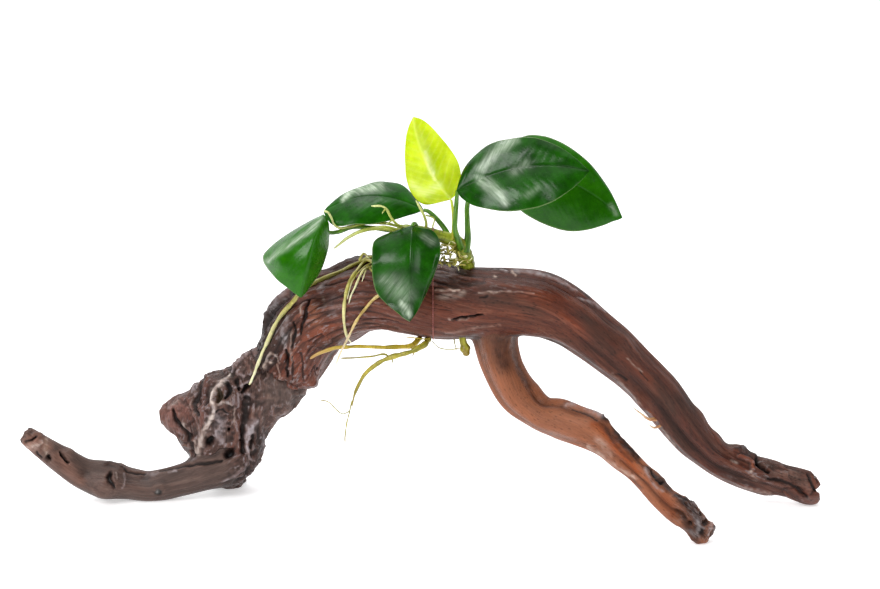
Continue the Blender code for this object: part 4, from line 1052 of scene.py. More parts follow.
def spread(tree, source, low=0.0, high=1.0, first=0.0, last=1.0):
    """A value that lies from low to high, spread evenly from first to last."""
    return add_node(tree, "ShaderNodeMapRange", {}, {
        "From Min": low, "From Max": high, "To Min": first, "To Max": last}, {"Value": source}), "Result"


def times(tree, one, other):
    return add_node(tree, "ShaderNodeMath", {"operation": "MULTIPLY"},
                    links={"Value": one, "Value_001": other}), "Value"


def ramp(tree, source, *stops):
    """The colour for each value of source, told by pairs of a value and a colour."""
    return add_node(tree, "ShaderNodeValToRGB", links={"Fac": source},
                    stops=[(spot, colour(code)) for spot, code in stops]), "Color"


def mixed(tree, layer, tint, share, way="MIX"):
    """A layer with a tint mixed in, as strongly as share says. The tint is a colour or a node's output."""
    values, links = ({"B_Color": colour(tint)}, {}) if isinstance(tint, str) else ({}, {"B_Color": tint})
    return add_node(tree, "ShaderNodeMix", {"data_type": "RGBA", "blend_type": way}, values,
                    {"Factor_Float": share, "A_Color": layer, **links}), "Result_Color"


def bump(tree, height, strength, distance, under=None, invert=False):
    """Fine relief that only the light sees, on top of the relief under it."""
    links = {"Height": height, "Normal": under} if under else {"Height": height}
    return add_node(tree, "ShaderNodeBump", {"invert": invert},
                    {"Strength": strength, "Distance": distance}, links), "Normal"


print("helpers for layered materials are ready")

# %% [markdown]
# Bog-wood like this is dense hardwood, stained dark red-brown by tannin, scraped smooth and kept wet. The
# colour runs in streaks along the grain, and a thin film of water gives the ridges a broken shine, from
# the roughness and from painted glints. Painted shade darkens the bottoms of grooves and holes nearly to
# black, and the crests are painted a little lighter. All streaks read the grain that was stored with the
# mesh, so they follow every bend. Widths are real ones: streaks about 2 mm across, fibres about 0.5 mm.

# %% The driftwood's finish
STREAK_WIDTH = 1.9 * MM
FIBRE_WIDTH = 0.5 * MM
SPECK_WIDTH = 1.1 * MM
GLINT_FLECK_WIDTH = 1.5 * MM
WET_PATCH = 9 * MM
STREAKS_DRAWN, FIBRES_DRAWN, PATCHES_DRAWN = 11, 16, 2.5


def driftwood_finish(name, dark, body, light, stain, tints, specks):
    """Wet, water-stained hardwood. dark, body and light are the grain's colours, stain is that of its dark
    patches, tints has a colour for each stored mask, and specks is how dark the fine specks are."""
    wood, tree = blank_material(name)
    grain = stored(tree, "grain", "Vector")
    along_streaks, along_fibres, along_patches = (
        squeezed(tree, grain, (1 / drawn, 1, 1)) for drawn in (STREAKS_DRAWN, FIBRES_DRAWN, PATCHES_DRAWN))
    # the streaks, and dark patches where water stained the wood
    streaks = lumps(tree, STREAK_WIDTH, along_streaks, Detail=6, Roughness=0.7, Distortion=0.5)
    fibre = lumps(tree, FIBRE_WIDTH, along_fibres, Detail=3, Roughness=0.65)
    wet = lumps(tree, WET_PATCH, along_patches, Detail=4, Roughness=0.6)
    layer = ramp(tree, streaks, (0.32, dark), (0.5, body), (0.68, light))
    layer = mixed(tree, layer, stain, spread(tree, wet, 0.46, 0.68, 0, 0.8))
    # the marks that were drawn on the wood, with their painted highlights and painted shade
    for mask, tint in tints.items():
        layer = mixed(tree, layer, tint, stored(tree, mask))
    # fibres and specks darken the colour; painted shade darkens hollows, pits and cracks, and crests are
    # painted a little lighter
    speck_spots = add_node(tree, "ShaderNodeTexVoronoi", {}, {"Scale": 1 / SPECK_WIDTH},
                           {"Vector": along_patches})
    ridge = stored(tree, "ridge")
    strength = spread(tree, stored(tree, "tan"), 0, 1, 1.0, 0.85)
    for shade in (spread(tree, fibre, 0.34, 0.66, 0.74, 1.1),
                  spread(tree, ridge, 0.15, 0.85, 0.34, 1.12),
                  spread(tree, stored(tree, "pit"), 0, 1, 1.0, 0.06),
                  spread(tree, (speck_spots, "Distance"), 0.1, 0.3, 1 - specks, 1.0)):
        layer = mixed(tree, layer, shade, strength, "MULTIPLY")
    # painted glints: small pale flecks painted on the ridges of the rough parts and of the top band, in the
    # frost colour
    glint_flecks = lumps(tree, GLINT_FLECK_WIDTH, along_patches, Detail=2, Roughness=0.7)
    lit = times(tree, spread(tree, glint_flecks, 0.52, 0.72, 0, 0.6), stored(tree, "glint"))
    layer = mixed(tree, layer, tints["highlight_and_bleach"], times(tree, lit, spread(tree, ridge, 0.45, 0.65)))
    relief = bump(tree, streaks, 0.55, 0.7 * MM, bump(tree, fibre, 0.9, 0.35 * MM))
    surface(tree, {"IOR": 1.42, "Specular IOR Level": 0.35},
            {"Base Color": layer, "Roughness": spread(tree, wet, 0.38, 0.62, 0.3, 0.6), "Normal": relief})
    return wood


# In the tints, the pale and frost colours also paint highlights and reflections, and bark also paints
# shade.
arch_finish = driftwood_finish(
    "wet_tannin_stained_hardwood", "#46211a", "#673626", "#7c4c3a", "#43322a",
    {"tan": "#92583b", "warm": "#7e3a1e", "amber": "#8c4218", "bark_and_shade": "#2b1914", "highlight_and_bleach": "#9a9394",
     "pale_wear_and_glint": "#c9b4a6"}, 0.55)
stump_finish = driftwood_finish(
    "weathered_burl_wood", "#39211a", "#5f4037", "#7a5f54", "#43312b",
    {"smooth": "#5a4942", "tan": "#865e4f", "horn": "#7a5147", "warm": "#5f352b", "amber": "#4f3a14",
     "bark_and_shade": "#2a1a16", "highlight_and_bleach": "#a3999c", "pale_wear_and_glint": "#d6c6bc", "white": "#efe9e4"}, 0.15)
for wood, finish in ((arch_wood, arch_finish), (stump, stump_finish)):
    wood.data.materials.clear()
    wood.data.materials.append(finish)
print("driftwood finishes:", arch_finish.name, "and", stump_finish.name)

# %% [markdown]
# An anubias leaf is thick and leathery, with a sunk midrib, fine side veins that arch towards the tip, a
# slightly waved margin and a waxy shine. Each blade starts as a flat grid and is bent through five points
# read off the photograph: where the stalk ends, the midrib's middle, the tip and the two margins. Its
# outline is told by the half widths at fixed places, and the veins are pressed into it before it gets its
# thickness. The bend needs every point placed by a formula, so it is done in code and not by dragging.

# %% The leaves' places and outlines
# curl: margins that bend back, told by the side, from how far out, from and to where along, and how far
# in mm. The side is -1 or 1, and 0 means the tip.
OUTLINE_AT = [0, 0.03, 0.08, 0.15, 0.25, 0.35, 0.45, 0.55, 0.65, 0.75, 0.85, 0.93, 0.97, 1]
LEAVES = {
    "left": dict(
        base=(-38.9, 3, 121.8), middle=(-43.2, -6, 112), tip=(-47.7, -8, 91.2),
        margins=[(-63.6, 5, 102.4), (-37, 4.5, 110.4)], crown=-2.2, wave=0.5,
        curl=[(-1, 0.62, 0, 0.62, 4.5), (1, 0.8, 0.3, 0.9, 1.2)],
        widths=[(0, 0.2, 0.4, 0.63, 0.88, 1.02, 0.98, 0.86, 0.69, 0.51, 0.31, 0.15, 0.07, 0),
                (0, 0.2, 0.36, 0.55, 0.74, 0.9, 1.01, 1.05, 1.02, 0.9, 0.64, 0.33, 0.16, 0)]),
    "back_left": dict(
        base=(0.5, 15, 121.7), middle=(-17, 17, 126.8), tip=(-39.5, 17, 120.6),
        margins=[(-19.5, 6, 117), (-15.5, 28, 131)], crown=1.0, wave=0.5, curl=[(-1, 0.8, 0.1, 0.9, 0.8)],
        widths=[(0, 0.14, 0.29, 0.46, 0.68, 0.85, 0.95, 0.99, 0.98, 0.9, 0.73, 0.39, 0.18, 0),
                (0, 0.19, 0.41, 0.65, 0.88, 0.97, 0.97, 0.9, 0.75, 0.59, 0.45, 0.28, 0.16, 0)]),
    "front": dict(
        base=(-3.6, 3.5, 117.4), middle=(-4, -6.5, 109), tip=(-4.5, -9.5, 82.2),
        margins=[(-19.6, -2, 104.6), (7.8, -3, 107.4)], crown=1.0, wave=0.7,
        curl=[(-1, 0.75, 0, 0.5, 1.6), (1, 0.8, 0.42, 0.85, 2.0), (0, 0.84, 0, 1, -2.2)],
        widths=[(0, 0.3, 0.72, 0.94, 1.0, 1.0, 1.0, 0.99, 0.95, 0.85, 0.6, 0.31, 0.16, 0),
                (0, 0.5, 0.72, 0.84, 0.94, 0.98, 0.96, 0.89, 0.77, 0.61, 0.42, 0.24, 0.12, 0)]),
    "young": dict(
        base=(11.8, 12, 126.8), middle=(3.2, 9, 139.8), tip=(-3.3, 12, 160),
        margins=[(-7.1, 10, 135.6), (13.6, 13, 144)], crown=-0.8, wave=0.4, curl=[(-1, 0.8, 0.0, 0.5, 1.5)],
        widths=[(0, 0.75, 0.98, 1.04, 1.03, 0.96, 0.86, 0.75, 0.63, 0.5, 0.36, 0.2, 0.09, 0),
                (0, 0.32, 0.53, 0.72, 0.89, 0.98, 0.98, 0.92, 0.82, 0.69, 0.52, 0.32, 0.16, 0)]),
    "right": dict(
        base=(14.2, 5.5, 131.5), middle=(36.5, 1.5, 141), tip=(66, -3, 140.9),
        margins=[(33.5, 9, 151.8), (36, -8, 125.8)], crown=1.3, wave=0.6, curl=[(-1, 0.8, 0.05, 0.4, 1.2)],
        widths=[(0, 0.22, 0.49, 0.7, 0.89, 0.96, 0.96, 0.94, 0.87, 0.73, 0.52, 0.26, 0.1, 0),
                (0, 0.2, 0.41, 0.62, 0.81, 0.94, 1.0, 0.99, 0.92, 0.8, 0.56, 0.29, 0.13, 0)]),
    "back_right": dict(
        base=(29.6, 20, 139.2), middle=(53.5, 20, 134.5), tip=(81, 16, 118.2),
        margins=[(58, 27, 146.5), (50, 17, 115.5)], crown=1.2, wave=0.6, curl=[(-1, 0.85, 0.2, 0.9, 0.8)],
        widths=[(0, 0.3, 0.75, 0.98, 1.04, 1.02, 0.96, 0.86, 0.74, 0.58, 0.39, 0.19, 0.08, 0),
                (0, 0.2, 0.45, 0.72, 0.9, 0.98, 1.01, 0.98, 0.88, 0.7, 0.45, 0.21, 0.1, 0)]),
}
WIDEST = 0.42
BLADE_THICKNESS = 0.55 * MM
VEIN_SPACING = 3.4 * MM
VEIN_SLANT, VEIN_BEND = 0.75, 14
MIDRIB_WIDTH = 0.55 * MM
print("leaves:", ", ".join(LEAVES))

# %% Make one blade
def bend_blade(leaf, across, along):
    """Points of a blade, with the width and length in metres that they lie at."""
    base, middle, tip = (np.array(place(*leaf[key])) for key in ("base", "middle", "tip"))
    left, right = (np.array(place(*margin)) for margin in leaf["margins"])
    a, w = along[:, None], WIDEST
    midrib = base * (a - w) * (a - 1) / w + middle * a * (a - 1) / (w * (w - 1))
    midrib = midrib + tip * a * (a - w) / (1 - w)
    up = np.cross(right - left, tip - base)
    up /= np.linalg.norm(up)
    shares = []
    for widths in leaf["widths"]:
        table = smooth(list(zip(OUTLINE_AT, widths)), 8)
        shares.append(np.interp(along, table[:, 0], table[:, 1].clip(0, 2)))
    on_left = across < 0
    full = np.where(on_left, *shares)
    side = np.where(on_left[:, None], left - middle, right - middle)
    reach = np.abs(across) * full
    out = np.linalg.norm(side, axis=1) * reach
    lift = leaf["crown"] * (1 - (2 * np.abs(across) - 1) ** 2)
    lift += leaf["wave"] * np.sin(9 * along + np.where(on_left, 2, 0)) * across ** 2
    lift += 0.5 * leaf["wave"] * np.sin(23 * along + np.where(on_left, 0.5, 3)) * across ** 4
    points = midrib + side * reach[:, None] + up * (lift * np.minimum(full, 1) * MM)[:, None]
    for which, start, first, last, back in leaf["curl"]:
        if which:
            share = ((across * which - start) / (1 - start)).clip(0, 1) ** 1.4
            share *= (step_up(along, first - 0.12, first + 0.12)
                      * (1 - step_up(along, last - 0.12, last + 0.12)))
        else:
            share = ((along - start) / (1 - start)).clip(0, 1) ** 1.5
        points[:, 1] += back * MM * share
    return points, out * np.sign(across), along * np.linalg.norm(tip - base), up


def vein_pattern(out, along_length, across):
    """How sunk the veins are: the midrib, and side veins that leave it slanting and bend to the tip."""
    midrib = np.exp(-(out / MIDRIB_WIDTH) ** 2)
    bent = (along_length - VEIN_SLANT * np.abs(out) - VEIN_BEND * out ** 2) / VEIN_SPACING
    jitter = 0.18 * noise(np.stack([out, along_length, 0 * out], 1), 7 * MM, 90)
    wave = 0.5 + 0.5 * np.cos(2 * math.pi * (bent + jitter + 0.5 * (across < 0)))
    side = wave ** 6 * step_up(np.abs(out), 0.5 * MM, 2 * MM) * (1 - step_up(np.abs(across), 0.75, 1))
    return midrib, side, wave


# Painted sheen: where pale reflections of the lamps are painted on the leaves, how strong each is, and its
# line, in the same pixels as the wood's marks.
PAINTED_SHEEN_MARKS = {
    "right": [(0.75, [(516, 140, 3.5), (505, 146, 5), (493, 156, 5), (482, 168, 5)]),
              (0.75, [(479, 178, 4), (488, 185, 5.5), (498, 193, 5.5), (505, 203, 4)]),
              (0.3, [(514, 172, 5), (526, 164, 5)]), (0.25, [(526, 196, 4), (538, 188, 3)])],
    "back_left": [(0.95, [(343, 200, 2.5), (351, 192, 4), (364, 188, 5), (379, 187, 4.5)])],
    "front": [(0.35, [(384, 280, 6), (395, 286, 11), (404, 296, 9)]),
              (0.8, [(401, 302, 3), (406, 308, 4), (410, 316, 2)]),
              (0.3, [(422, 236, 3), (432, 242, 4)])],
    "left": [(0.7, [(268, 261, 2), (281, 251, 3), (296, 241, 3), (310, 231, 3), (321, 219, 2.5)])],
    "young": [(0.7, [(425, 152, 1.5), (429, 166, 2.5), (435, 180, 1.5)]),
              (0.5, [(412, 184, 4), (424, 192, 5), (438, 186, 4)])],
    "back_right": [(0.4, [(611, 206, 2.5), (616, 214, 2.5)])],
}
GRID_ACROSS, GRID_ALONG = 66, 100
# heights and depths on the blade, in mm
QUILT_HEIGHT, MIDRIB_DEPTH, VEIN_DEPTH = 0.015, 0.12, 0.02
WIDE_BUCKLE, FINE_BUCKLE, FREE_BUCKLE = 0.3, 0.07, 0.35


def weld(threshold, turn_outwards=False):
    """Merge the points of the selected mesh that touch, and turn its faces outwards where that is asked."""
    bpy.ops.object.mode_set(mode="EDIT")
    bpy.ops.mesh.select_all(action="SELECT")
    bpy.ops.mesh.remove_doubles(threshold=threshold)
    if turn_outwards:
        bpy.ops.mesh.normals_make_consistent(inside=False)
    bpy.ops.object.mode_set(mode="OBJECT")


def make_blade(name, leaf, seed):
    """A blade with its veins, its buckles and the values that its finish reads."""
    bpy.ops.object.select_all(action="DESELECT")
    bpy.ops.mesh.primitive_grid_add(x_subdivisions=GRID_ACROSS, y_subdivisions=GRID_ALONG, size=2)
    blade = bpy.context.object
    blade.name = f"blade_{name}"
    flat = get_spots(blade.data)
    across, along = flat[:, 0], 0.5 - 0.5 * np.cos(math.pi * (flat[:, 1] + 1) / 2)
    points, out, length, up = bend_blade(leaf, across, along)
    midrib, side, wave = vein_pattern(out, length, across)
    if name == "left":
        up = -up
    quilt = QUILT_HEIGHT * (1 - wave) * step_up(np.abs(out), 1 * MM, 4 * MM) * (1 - np.abs(across) ** 6)
    by_vein = length - VEIN_SLANT * np.abs(out)
    slant = np.stack([1.6 * by_vein, out, np.sign(across) * 0.05], 1)
    buckle = WIDE_BUCKLE * noise(slant, 12 * MM, seed) + FINE_BUCKLE * noise(slant, 4.5 * MM, seed + 1)
    buckle += FREE_BUCKLE * noise(np.stack([out, length, 0 * out], 1), 9 * MM, seed + 2)
    buckle *= step_up(np.abs(out), 0, 4 * MM)
    height = (quilt - MIDRIB_DEPTH * midrib - VEIN_DEPTH * side + buckle) * MM
    fade = np.minimum(1, np.minimum(along, 1 - along) * 12)
    set_spots(blade.data, points + up * (height * fade)[:, None])
    # the painted sheen, and a lie for its streaks to follow, which runs out from the midrib with the side
    # veins
    facing = np.tile(-LOOK, (len(flat), 1))
    sheen_paint = [(0, {"painted_sheen": strength}, line) for strength, line in PAINTED_SHEEN_MARKS[name]]
    layers = {"painted_sheen": draw_marks(get_spots(blade.data), facing, sheen_paint, 1)[1]["painted_sheen"],
              "lie": np.stack([by_vein, out / 6, np.sign(across) * 3 * MM], 1),
              "midrib": midrib, "vein": side, "margin": np.abs(across), "along": along}
    for layer, values in layers.items():
        store(blade, layer, values)
    weld(0.02 * MM)
    modify(blade, "SOLIDIFY", thickness=BLADE_THICKNESS, offset=0)
    bpy.ops.object.shade_smooth()
    return blade


blades = {name: make_blade(name, leaf, 100 + 7 * i) for i, (name, leaf) in enumerate(LEAVES.items())}
for name, blade in blades.items():
    hand_in(blade, "young_leaf" if name == "young" else "leaf", f"leaf_{name}")

# %% [markdown]
# The blade's finish is a waxy green skin. Most of its look is gloss: a low roughness that changes in soft
# patches, broken by the veins. In places a pale painted sheen stands for the lamps' reflections, broken
# into streaks that lie with the side veins. The margin has a thin pale rim. The young leaf is thin and
# bright, and light passes through it, so part of its light is scattered under the skin.

# %% The leaves' finishes
MOTTLE_WIDTH, SHEEN_STREAK_WIDTH, GLOSS_PATCH, SKIN_GRIT = 7 * MM, 1.5 * MM, 4 * MM, 1.6 * MM


def leaf_finish(name, deep, fresh, vein, rim, sheen_paint, roughness, glow, shine=0.26):
    """A waxy leaf. deep and fresh are its greens, the colour after rim is its painted sheen, a pale
    reflection of the lamps, glow is how much light passes through it, and shine is how strongly it mirrors
    the lamps."""
    leaf_skin, tree = blank_material(name)
    place_on = (add_node(tree, "ShaderNodeTexCoord"), "Object")
    mottle = lumps(tree, MOTTLE_WIDTH, place_on, Detail=4, Roughness=0.55)
    layer = ramp(tree, mottle, (0.35, deep), (0.65, fresh))
    veins = stored(tree, "vein")
    layer = mixed(tree, layer, vein, spread(tree, veins, 0, 1, 0, 0.15))
    layer = mixed(tree, layer, vein, spread(tree, stored(tree, "midrib"), 0, 1, 0, 0.35))
    streaks = lumps(tree, SHEEN_STREAK_WIDTH, stored(tree, "lie", "Vector"), Detail=4, Roughness=0.6,
                    Distortion=0.3)
    sheen_share = times(tree, spread(tree, streaks, 0.36, 0.62, 0.3), stored(tree, "painted_sheen"))
    layer = mixed(tree, layer, sheen_paint, sheen_share)
    layer = mixed(tree, layer, rim, spread(tree, stored(tree, "margin"), 0.97, 0.99, 0, 0.45))
    gloss = lumps(tree, GLOSS_PATCH, place_on, Detail=5, Roughness=0.6)
    grit = lumps(tree, SKIN_GRIT, place_on, Detail=4, Roughness=0.6)
    relief = bump(tree, veins, 0.3, 0.08 * MM, bump(tree, grit, 0.5, 0.1 * MM), invert=True)
    surface(tree, {"IOR": 1.43, "Specular IOR Level": shine, "Subsurface Weight": glow,
                   "Subsurface Radius": (0.3, 1.0, 0.1), "Subsurface Scale": 1.5 * MM},
            {"Base Color": layer, "Normal": relief,
             "Roughness": spread(tree, gloss, 0.35, 0.7, roughness, roughness + 0.12)})
    return leaf_skin


# In each leaf finish the colour after the rim is its painted sheen: pale, where the leaf mirrors the lamps.
green_leaf = leaf_finish(
    "waxy_green_leaf", "#0a3501", "#185004", "#0a2c02", "#7f965c", "#bccbb4", 0.2, 0.0)
light_leaf = leaf_finish(
    "waxy_fresh_leaf", "#1a5600", "#286a02", "#154702", "#8ea268", "#bccbb4", 0.2, 0.02)
shaded_leaf = leaf_finish(
    "waxy_shaded_leaf", "#0c3c01", "#1b5a04", "#0a2c02", "#7f965c", "#bccbb4", 0.26, 0.0, 0.13)
young_leaf = leaf_finish(
    "thin_young_leaf", "#a9be04", "#cbdb20", "#e4ec7c", "#d6e25c", "#eef2ae", 0.22, 0.2)
finishes = {"back_left": shaded_leaf, "left": light_leaf, "back_right": light_leaf, "young": young_leaf}
for name, blade in blades.items():
    blade.data.materials.append(finishes.get(name, green_leaf))
print("leaf finishes:", ", ".join(skin.name for skin in (green_leaf, light_leaf, shaded_leaf, young_leaf)))

# %% [markdown]
# The rhizome is the plant's creeping stem. It lies on top of the arch, fat and yellow-green, and turns down
# on to the wood at its right end. Every fallen leaf left a ring round it. The leaf stalks rise from it,
# wide at their foot and thin at the blade. Stem and stalks touch, as in the plant, but each stalk is a
# piece of its own, because each can be taken off with its leaf.

# %% The rhizome and the stalks
RHIZOME = [
    (19.2, 18.5, 92.5, 2.6), (18.6, 17.4, 98, 3), (17.2, 15, 103.4, 3.2), (14, 11.8, 109, 2.9),
    (7.4, 10, 112, 2.3), (1, 10, 113.6, 2.3), (-5.5, 10, 114.5, 2.2), (-9.8, 10, 114.6, 1.9),
]
STALKS = {
    "left": [
        (-8, 11.6, 113.8, 1.0), (-12, 12.2, 113.8, 0.95), (-19.9, 12.4, 114.9, 0.9),
        (-27.7, 11.5, 115.4, 0.9), (-33.3, 10, 113.8, 0.85), (-37.4, 8.8, 113.8, 0.8), (-40, 8, 116, 0.75),
        (-39.9, 6.6, 119, 0.7), (-39, 3.6, 121.6, 0.6)],
    "back_left": [
        (10.4, 11, 111.5, 1.3), (9.8, 11.6, 113.8, 1.1), (6.6, 13.2, 117.8, 1.0), (3, 14.6, 121, 0.85),
        (0.7, 15, 121.7, 0.7)],
    "front": [
        (-1.5, 9.5, 114.8, 0.9), (-2.4, 7.5, 117.4, 0.85), (-3.2, 5.5, 118, 0.8), (-3.6, 3.7, 117.4, 0.7)],
    "young": [
        (12.4, 9.4, 109.4, 0.8), (12.6, 8.6, 113, 0.7), (12.8, 9.8, 118, 0.65), (12.6, 11, 122, 0.6),
        (11.9, 12, 126.5, 0.5)],
    "right": [
        (15.6, 10.5, 107, 1.5), (14.4, 6.8, 112, 1.2), (13.4, 5.8, 116, 1.05), (13.6, 6.2, 121, 0.95),
        (14, 7.6, 126.6, 0.9), (14.3, 5.8, 131.2, 0.75)],
    "back_right": [
        (17.6, 12, 105, 1.8), (18.6, 12.8, 110.5, 1.4), (18.4, 14.4, 117.3, 1.1), (18.5, 16, 124, 1.0),
        (21, 17.8, 131.5, 0.9), (29.3, 20, 139, 0.7)],
}


def tube(name, a_limb, roundness):
    """A limb as one closed round skin, with its place along the limb kept for the material."""
    made = limb_curve(a_limb, roundness)
    made.name = made.data.name = name
    along, front, outer, _ = read_on(a_limb, get_spots(made.data))
    store(made, "grain", np.stack([along, front, outer], 1))
    store(made, "along", along / a_limb["along"][-1])
    weld(0.005 * MM, turn_outwards=True)
    bpy.ops.object.shade_smooth()
    return made


RING_SPACING, RING_DEPTH = 2.6 * MM, 0.06


def ringed(a_limb, spacing, depth, seed):
    """A limb whose radius swells between the rings that fallen leaves left."""
    along = a_limb["along"]
    rings = np.abs(np.sin(math.pi * (along / spacing + 0.2 * noise(a_limb["centres"], 4 * MM, seed))))
    a_limb["radii"] = a_limb["radii"] * (1 - depth + 2 * depth * rings ** 0.5)
    return a_limb


rhizome = tube("creeping_stem", ringed(limb(RHIZOME), RING_SPACING, RING_DEPTH, 201), 12)
hand_in(rhizome, "rhizome", "rhizome")
stalks = {}
for name, rows in STALKS.items():
    stalks[name] = tube(f"petiole_{name}", limb(rows), 6)
    hand_in(stalks[name], "stalk", f"stalk_{name}")

# %% [markdown]
# Living roots leave the rhizome and look for a hold. Some creep over the wood, so each of their points is
# dropped on to the carved wood, at the very spot where the camera sees it, or else on to the nearest one. A
# search tree of the wood's faces finds both. Others hang free under the arch or reach into the air, with
# side roots and fine hairs. A root is never even: it swells, thins and wanders a little, and its growing
# tip is pale.

# %% Where the roots run
# free: from the stem, lying: on the wood, tail: in the air again, radii: from the stem to the tip in mm.
# branches: side roots and hairs, each a line with its first and last radius, and "lying" on the wood
ROOTS = {
    "over_wood": dict(
        free=[(-4, 10, 113), (-8, 10, 108.5), (-14, 11, 105.2)],
        lying=[
            (-20.1, 11, 103.3), (-27.9, 6, 100.2), (-34.7, 4, 96.9), (-41.6, 5, 93.8), (-46.6, 6, 90.7),
            (-50.2, 6, 87.8), (-54.8, 6, 82.4), (-59, 7, 75.4), (-62.8, 7, 67), (-67, 9, 58),
            (-69.5, 11, 52.5), (-71, 12, 49.5)],
        radii=(0.6, 0.65, 0.9, 0.95, 0.75, 0.4)),
    "down_front": dict(
        free=[(-2.6, 9.4, 113), (-6.5, 6.5, 109), (-13, 5.5, 106)],
        lying=[
            (-21.2, 5, 104), (-26, 4, 98.7), (-29.2, 3, 93.3), (-30.8, 2, 86.2), (-31.3, 2, 79.6),
            (-30.2, 2, 73), (-28.3, 3, 69.5)],
        radii=(0.55, 0.65, 0.7, 0.6, 0.4),
        branches=[([(-20.4, 3, 103.8), (-22, 2, 100), (-23.6, 1, 95.4)], 0.4, 0.25, "lying"),
                  ([(-18, 4, 103), (-24, 3, 99.6), (-28, 2, 94.6), (-29.9, 2, 88)], 0.45, 0.3, "lying"),
                  ([(-25, 8, 102.5), (-23.5, 8, 105.2), (-21.5, 8, 103.5)], 0.5, 0.45)]),
    "fork": dict(
        free=[(0.2, 9, 112.4), (-4, 4.4, 105.5), (-12, 3.5, 102.5)],
        lying=[(-21.2, 3, 100.2), (-24.4, 2, 97.6), (-27.1, 1, 92.1), (-29.2, 1, 86.4)],
        radii=(0.5, 0.6, 0.5, 0.3)),
    "crossing": dict(
        free=[(3, 8.8, 112), (2.4, 2.2, 104)],
        lying=[(-3, -2, 98), (-10, -2, 94), (-18.2, 0, 89), (-23.5, 0, 83.5), (-27.6, 1, 77)],
        tail=[(-31, -1.2, 70), (-33.6, -1, 64), (-34.4, -0.5, 61.5)],
        radii=(0.55, 0.65, 0.65, 0.5, 0.25)),
    "air_low": dict(
        free=[
            (-8.5, 9, 114.2), (-14.6, 8, 115.6), (-20.2, 8, 115.6), (-23.9, 8, 114.3), (-28.5, 8, 112.3),
            (-32.6, 8, 109.2), (-35.2, 8, 107.1)],
        radii=(0.95, 0.95, 0.7, 0.6, 0.35)),
    "air_curl": dict(
        free=[
            (-8, 10.6, 115.6), (-14, 10.4, 117), (-22.7, 10, 117), (-28.5, 9.5, 116), (-32.4, 9, 115.6),
            (-35, 9, 117), (-35.9, 9, 119.6), (-37.4, 9, 121.8), (-39.4, 9.4, 122.6)],
        radii=(0.65, 0.4)),
    "air_up": dict(
        free=[
            (-6.6, 8.6, 115.4), (-9.6, 5.6, 117.8), (-12.1, 4, 121), (-14.1, 3.6, 124.2),
            (-16.4, 3.6, 125.5), (-20, 3.8, 125.9)],
        radii=(0.55, 0.35),
        branches=[([(-11.2, 4.2, 120), (-12.9, 4.6, 118.9), (-14.4, 5, 117.9)], 0.35, 0.2),
                  ([(-14.2, 3.6, 124.6), (-15.2, 3.4, 123.6), (-15.6, 3.4, 122.6)], 0.4, 0.2)]),
    "strand": dict(
        free=[(1.6, 8.8, 114.6), (2, 8, 118), (0.4, 7.6, 122.4), (-2.2, 7.6, 127.2)],
        radii=(0.5, 0.55, 0.4),
        branches=[([(1.6, 8, 121), (4.0, 8, 120.3), (4.9, 8, 119.2), (4.5, 8, 115.9)], 0.35, 0.3)]),
    "under_long": dict(
        lying=[(-0.9, 17, 68.5), (-1.2, 13, 67.8)],
        tail=[
            (-3.4, 8.8, 66.9), (-8.4, 7, 66.8), (-16.7, 6, 66.8), (-27.4, 4.6, 67.4), (-33.9, 3, 67.3),
            (-38.6, 2.2, 66.2), (-42.4, 2.2, 64.8), (-45, 2.4, 63.1)],
        radii=(0.9, 1.1, 0.8, 0.72, 0.72, 0.5),
        branches=[([(3.4, 6, 70.6), (0.9, 4.4, 70.6), (-2.8, 3.6, 71.2), (-7.4, 3.2, 71.8)], 0.35, 0.2),
                  ([(-4.7, 7.4, 66.8), (-3.5, 5.4, 65.3), (-3.9, 4.4, 63.4)], 0.4, 0.2)]),
    "hanging": dict(
        lying=[(2.6, 17, 68), (2.4, 9.5, 68)],
        tail=[
            (1, 4.4, 67.8), (-4, 2.6, 66), (-9, 2.4, 64.6), (-13, 2.6, 63.4), (-17.5, 3, 60.8),
            (-22, 3.4, 57.2), (-25, 3.8, 52.4), (-27.3, 4, 47.6), (-28.6, 4, 42.4)],
        radii=(1.0, 1.3, 0.9, 1.0, 0.85, 0.65, 0.3),
        branches=[([(-28.4, 4, 44.6), (-29.5, 4, 40.8), (-30.6, 4, 35.4), (-31.2, 4, 31),
                    (-31.6, 4, 26.5)], 0.3, 0.2),
                  ([(-29.6, 4, 40.2), (-31.7, 4, 39.3), (-33.3, 4, 39.8), (-36.1, 4, 42.3),
                    (-38.4, 4, 44.5), (-41.2, 4, 45)], 0.26, 0.2),
                  ([(-12.8, 2.6, 63.6), (-11.8, 3, 62.6), (-12, 3.2, 61)], 0.4, 0.2)]),
    "under_thin": dict(
        free=[
            (-12.6, 3.6, 62.9), (-15, 6, 63.6), (-19, 7.4, 63), (-24, 7.6, 62.2), (-29, 7, 61.8),
            (-33, 6, 62.2)],
        radii=(0.45, 0.3)),
    "nub": dict(
        free=[(16, 8, 73), (16.8, 7.4, 69), (17.8, 7, 65.6), (18.6, 7, 62.9)],
        radii=(1.3, 1.7, 1.95, 1.6),
        branches=[([(4.2, 5, 69.6), (5.8, 4.6, 67.8), (7.8, 4.6, 66.7), (11.9, 4.8, 66.3),
                    (15.9, 5.6, 66.7)], 0.22, 0.2),
                  ([(13.1, 7, 70), (13.7, 7, 66.2), (13.9, 7, 62.8)], 0.2, 0.12)]),
}
for root in ROOTS.values():
    for part in ("free", "lying", "tail", "branches"):
        root.setdefault(part, [])
print("roots:", len(ROOTS), "with", sum(len(root["branches"]) for root in ROOTS.values()), "side roots")

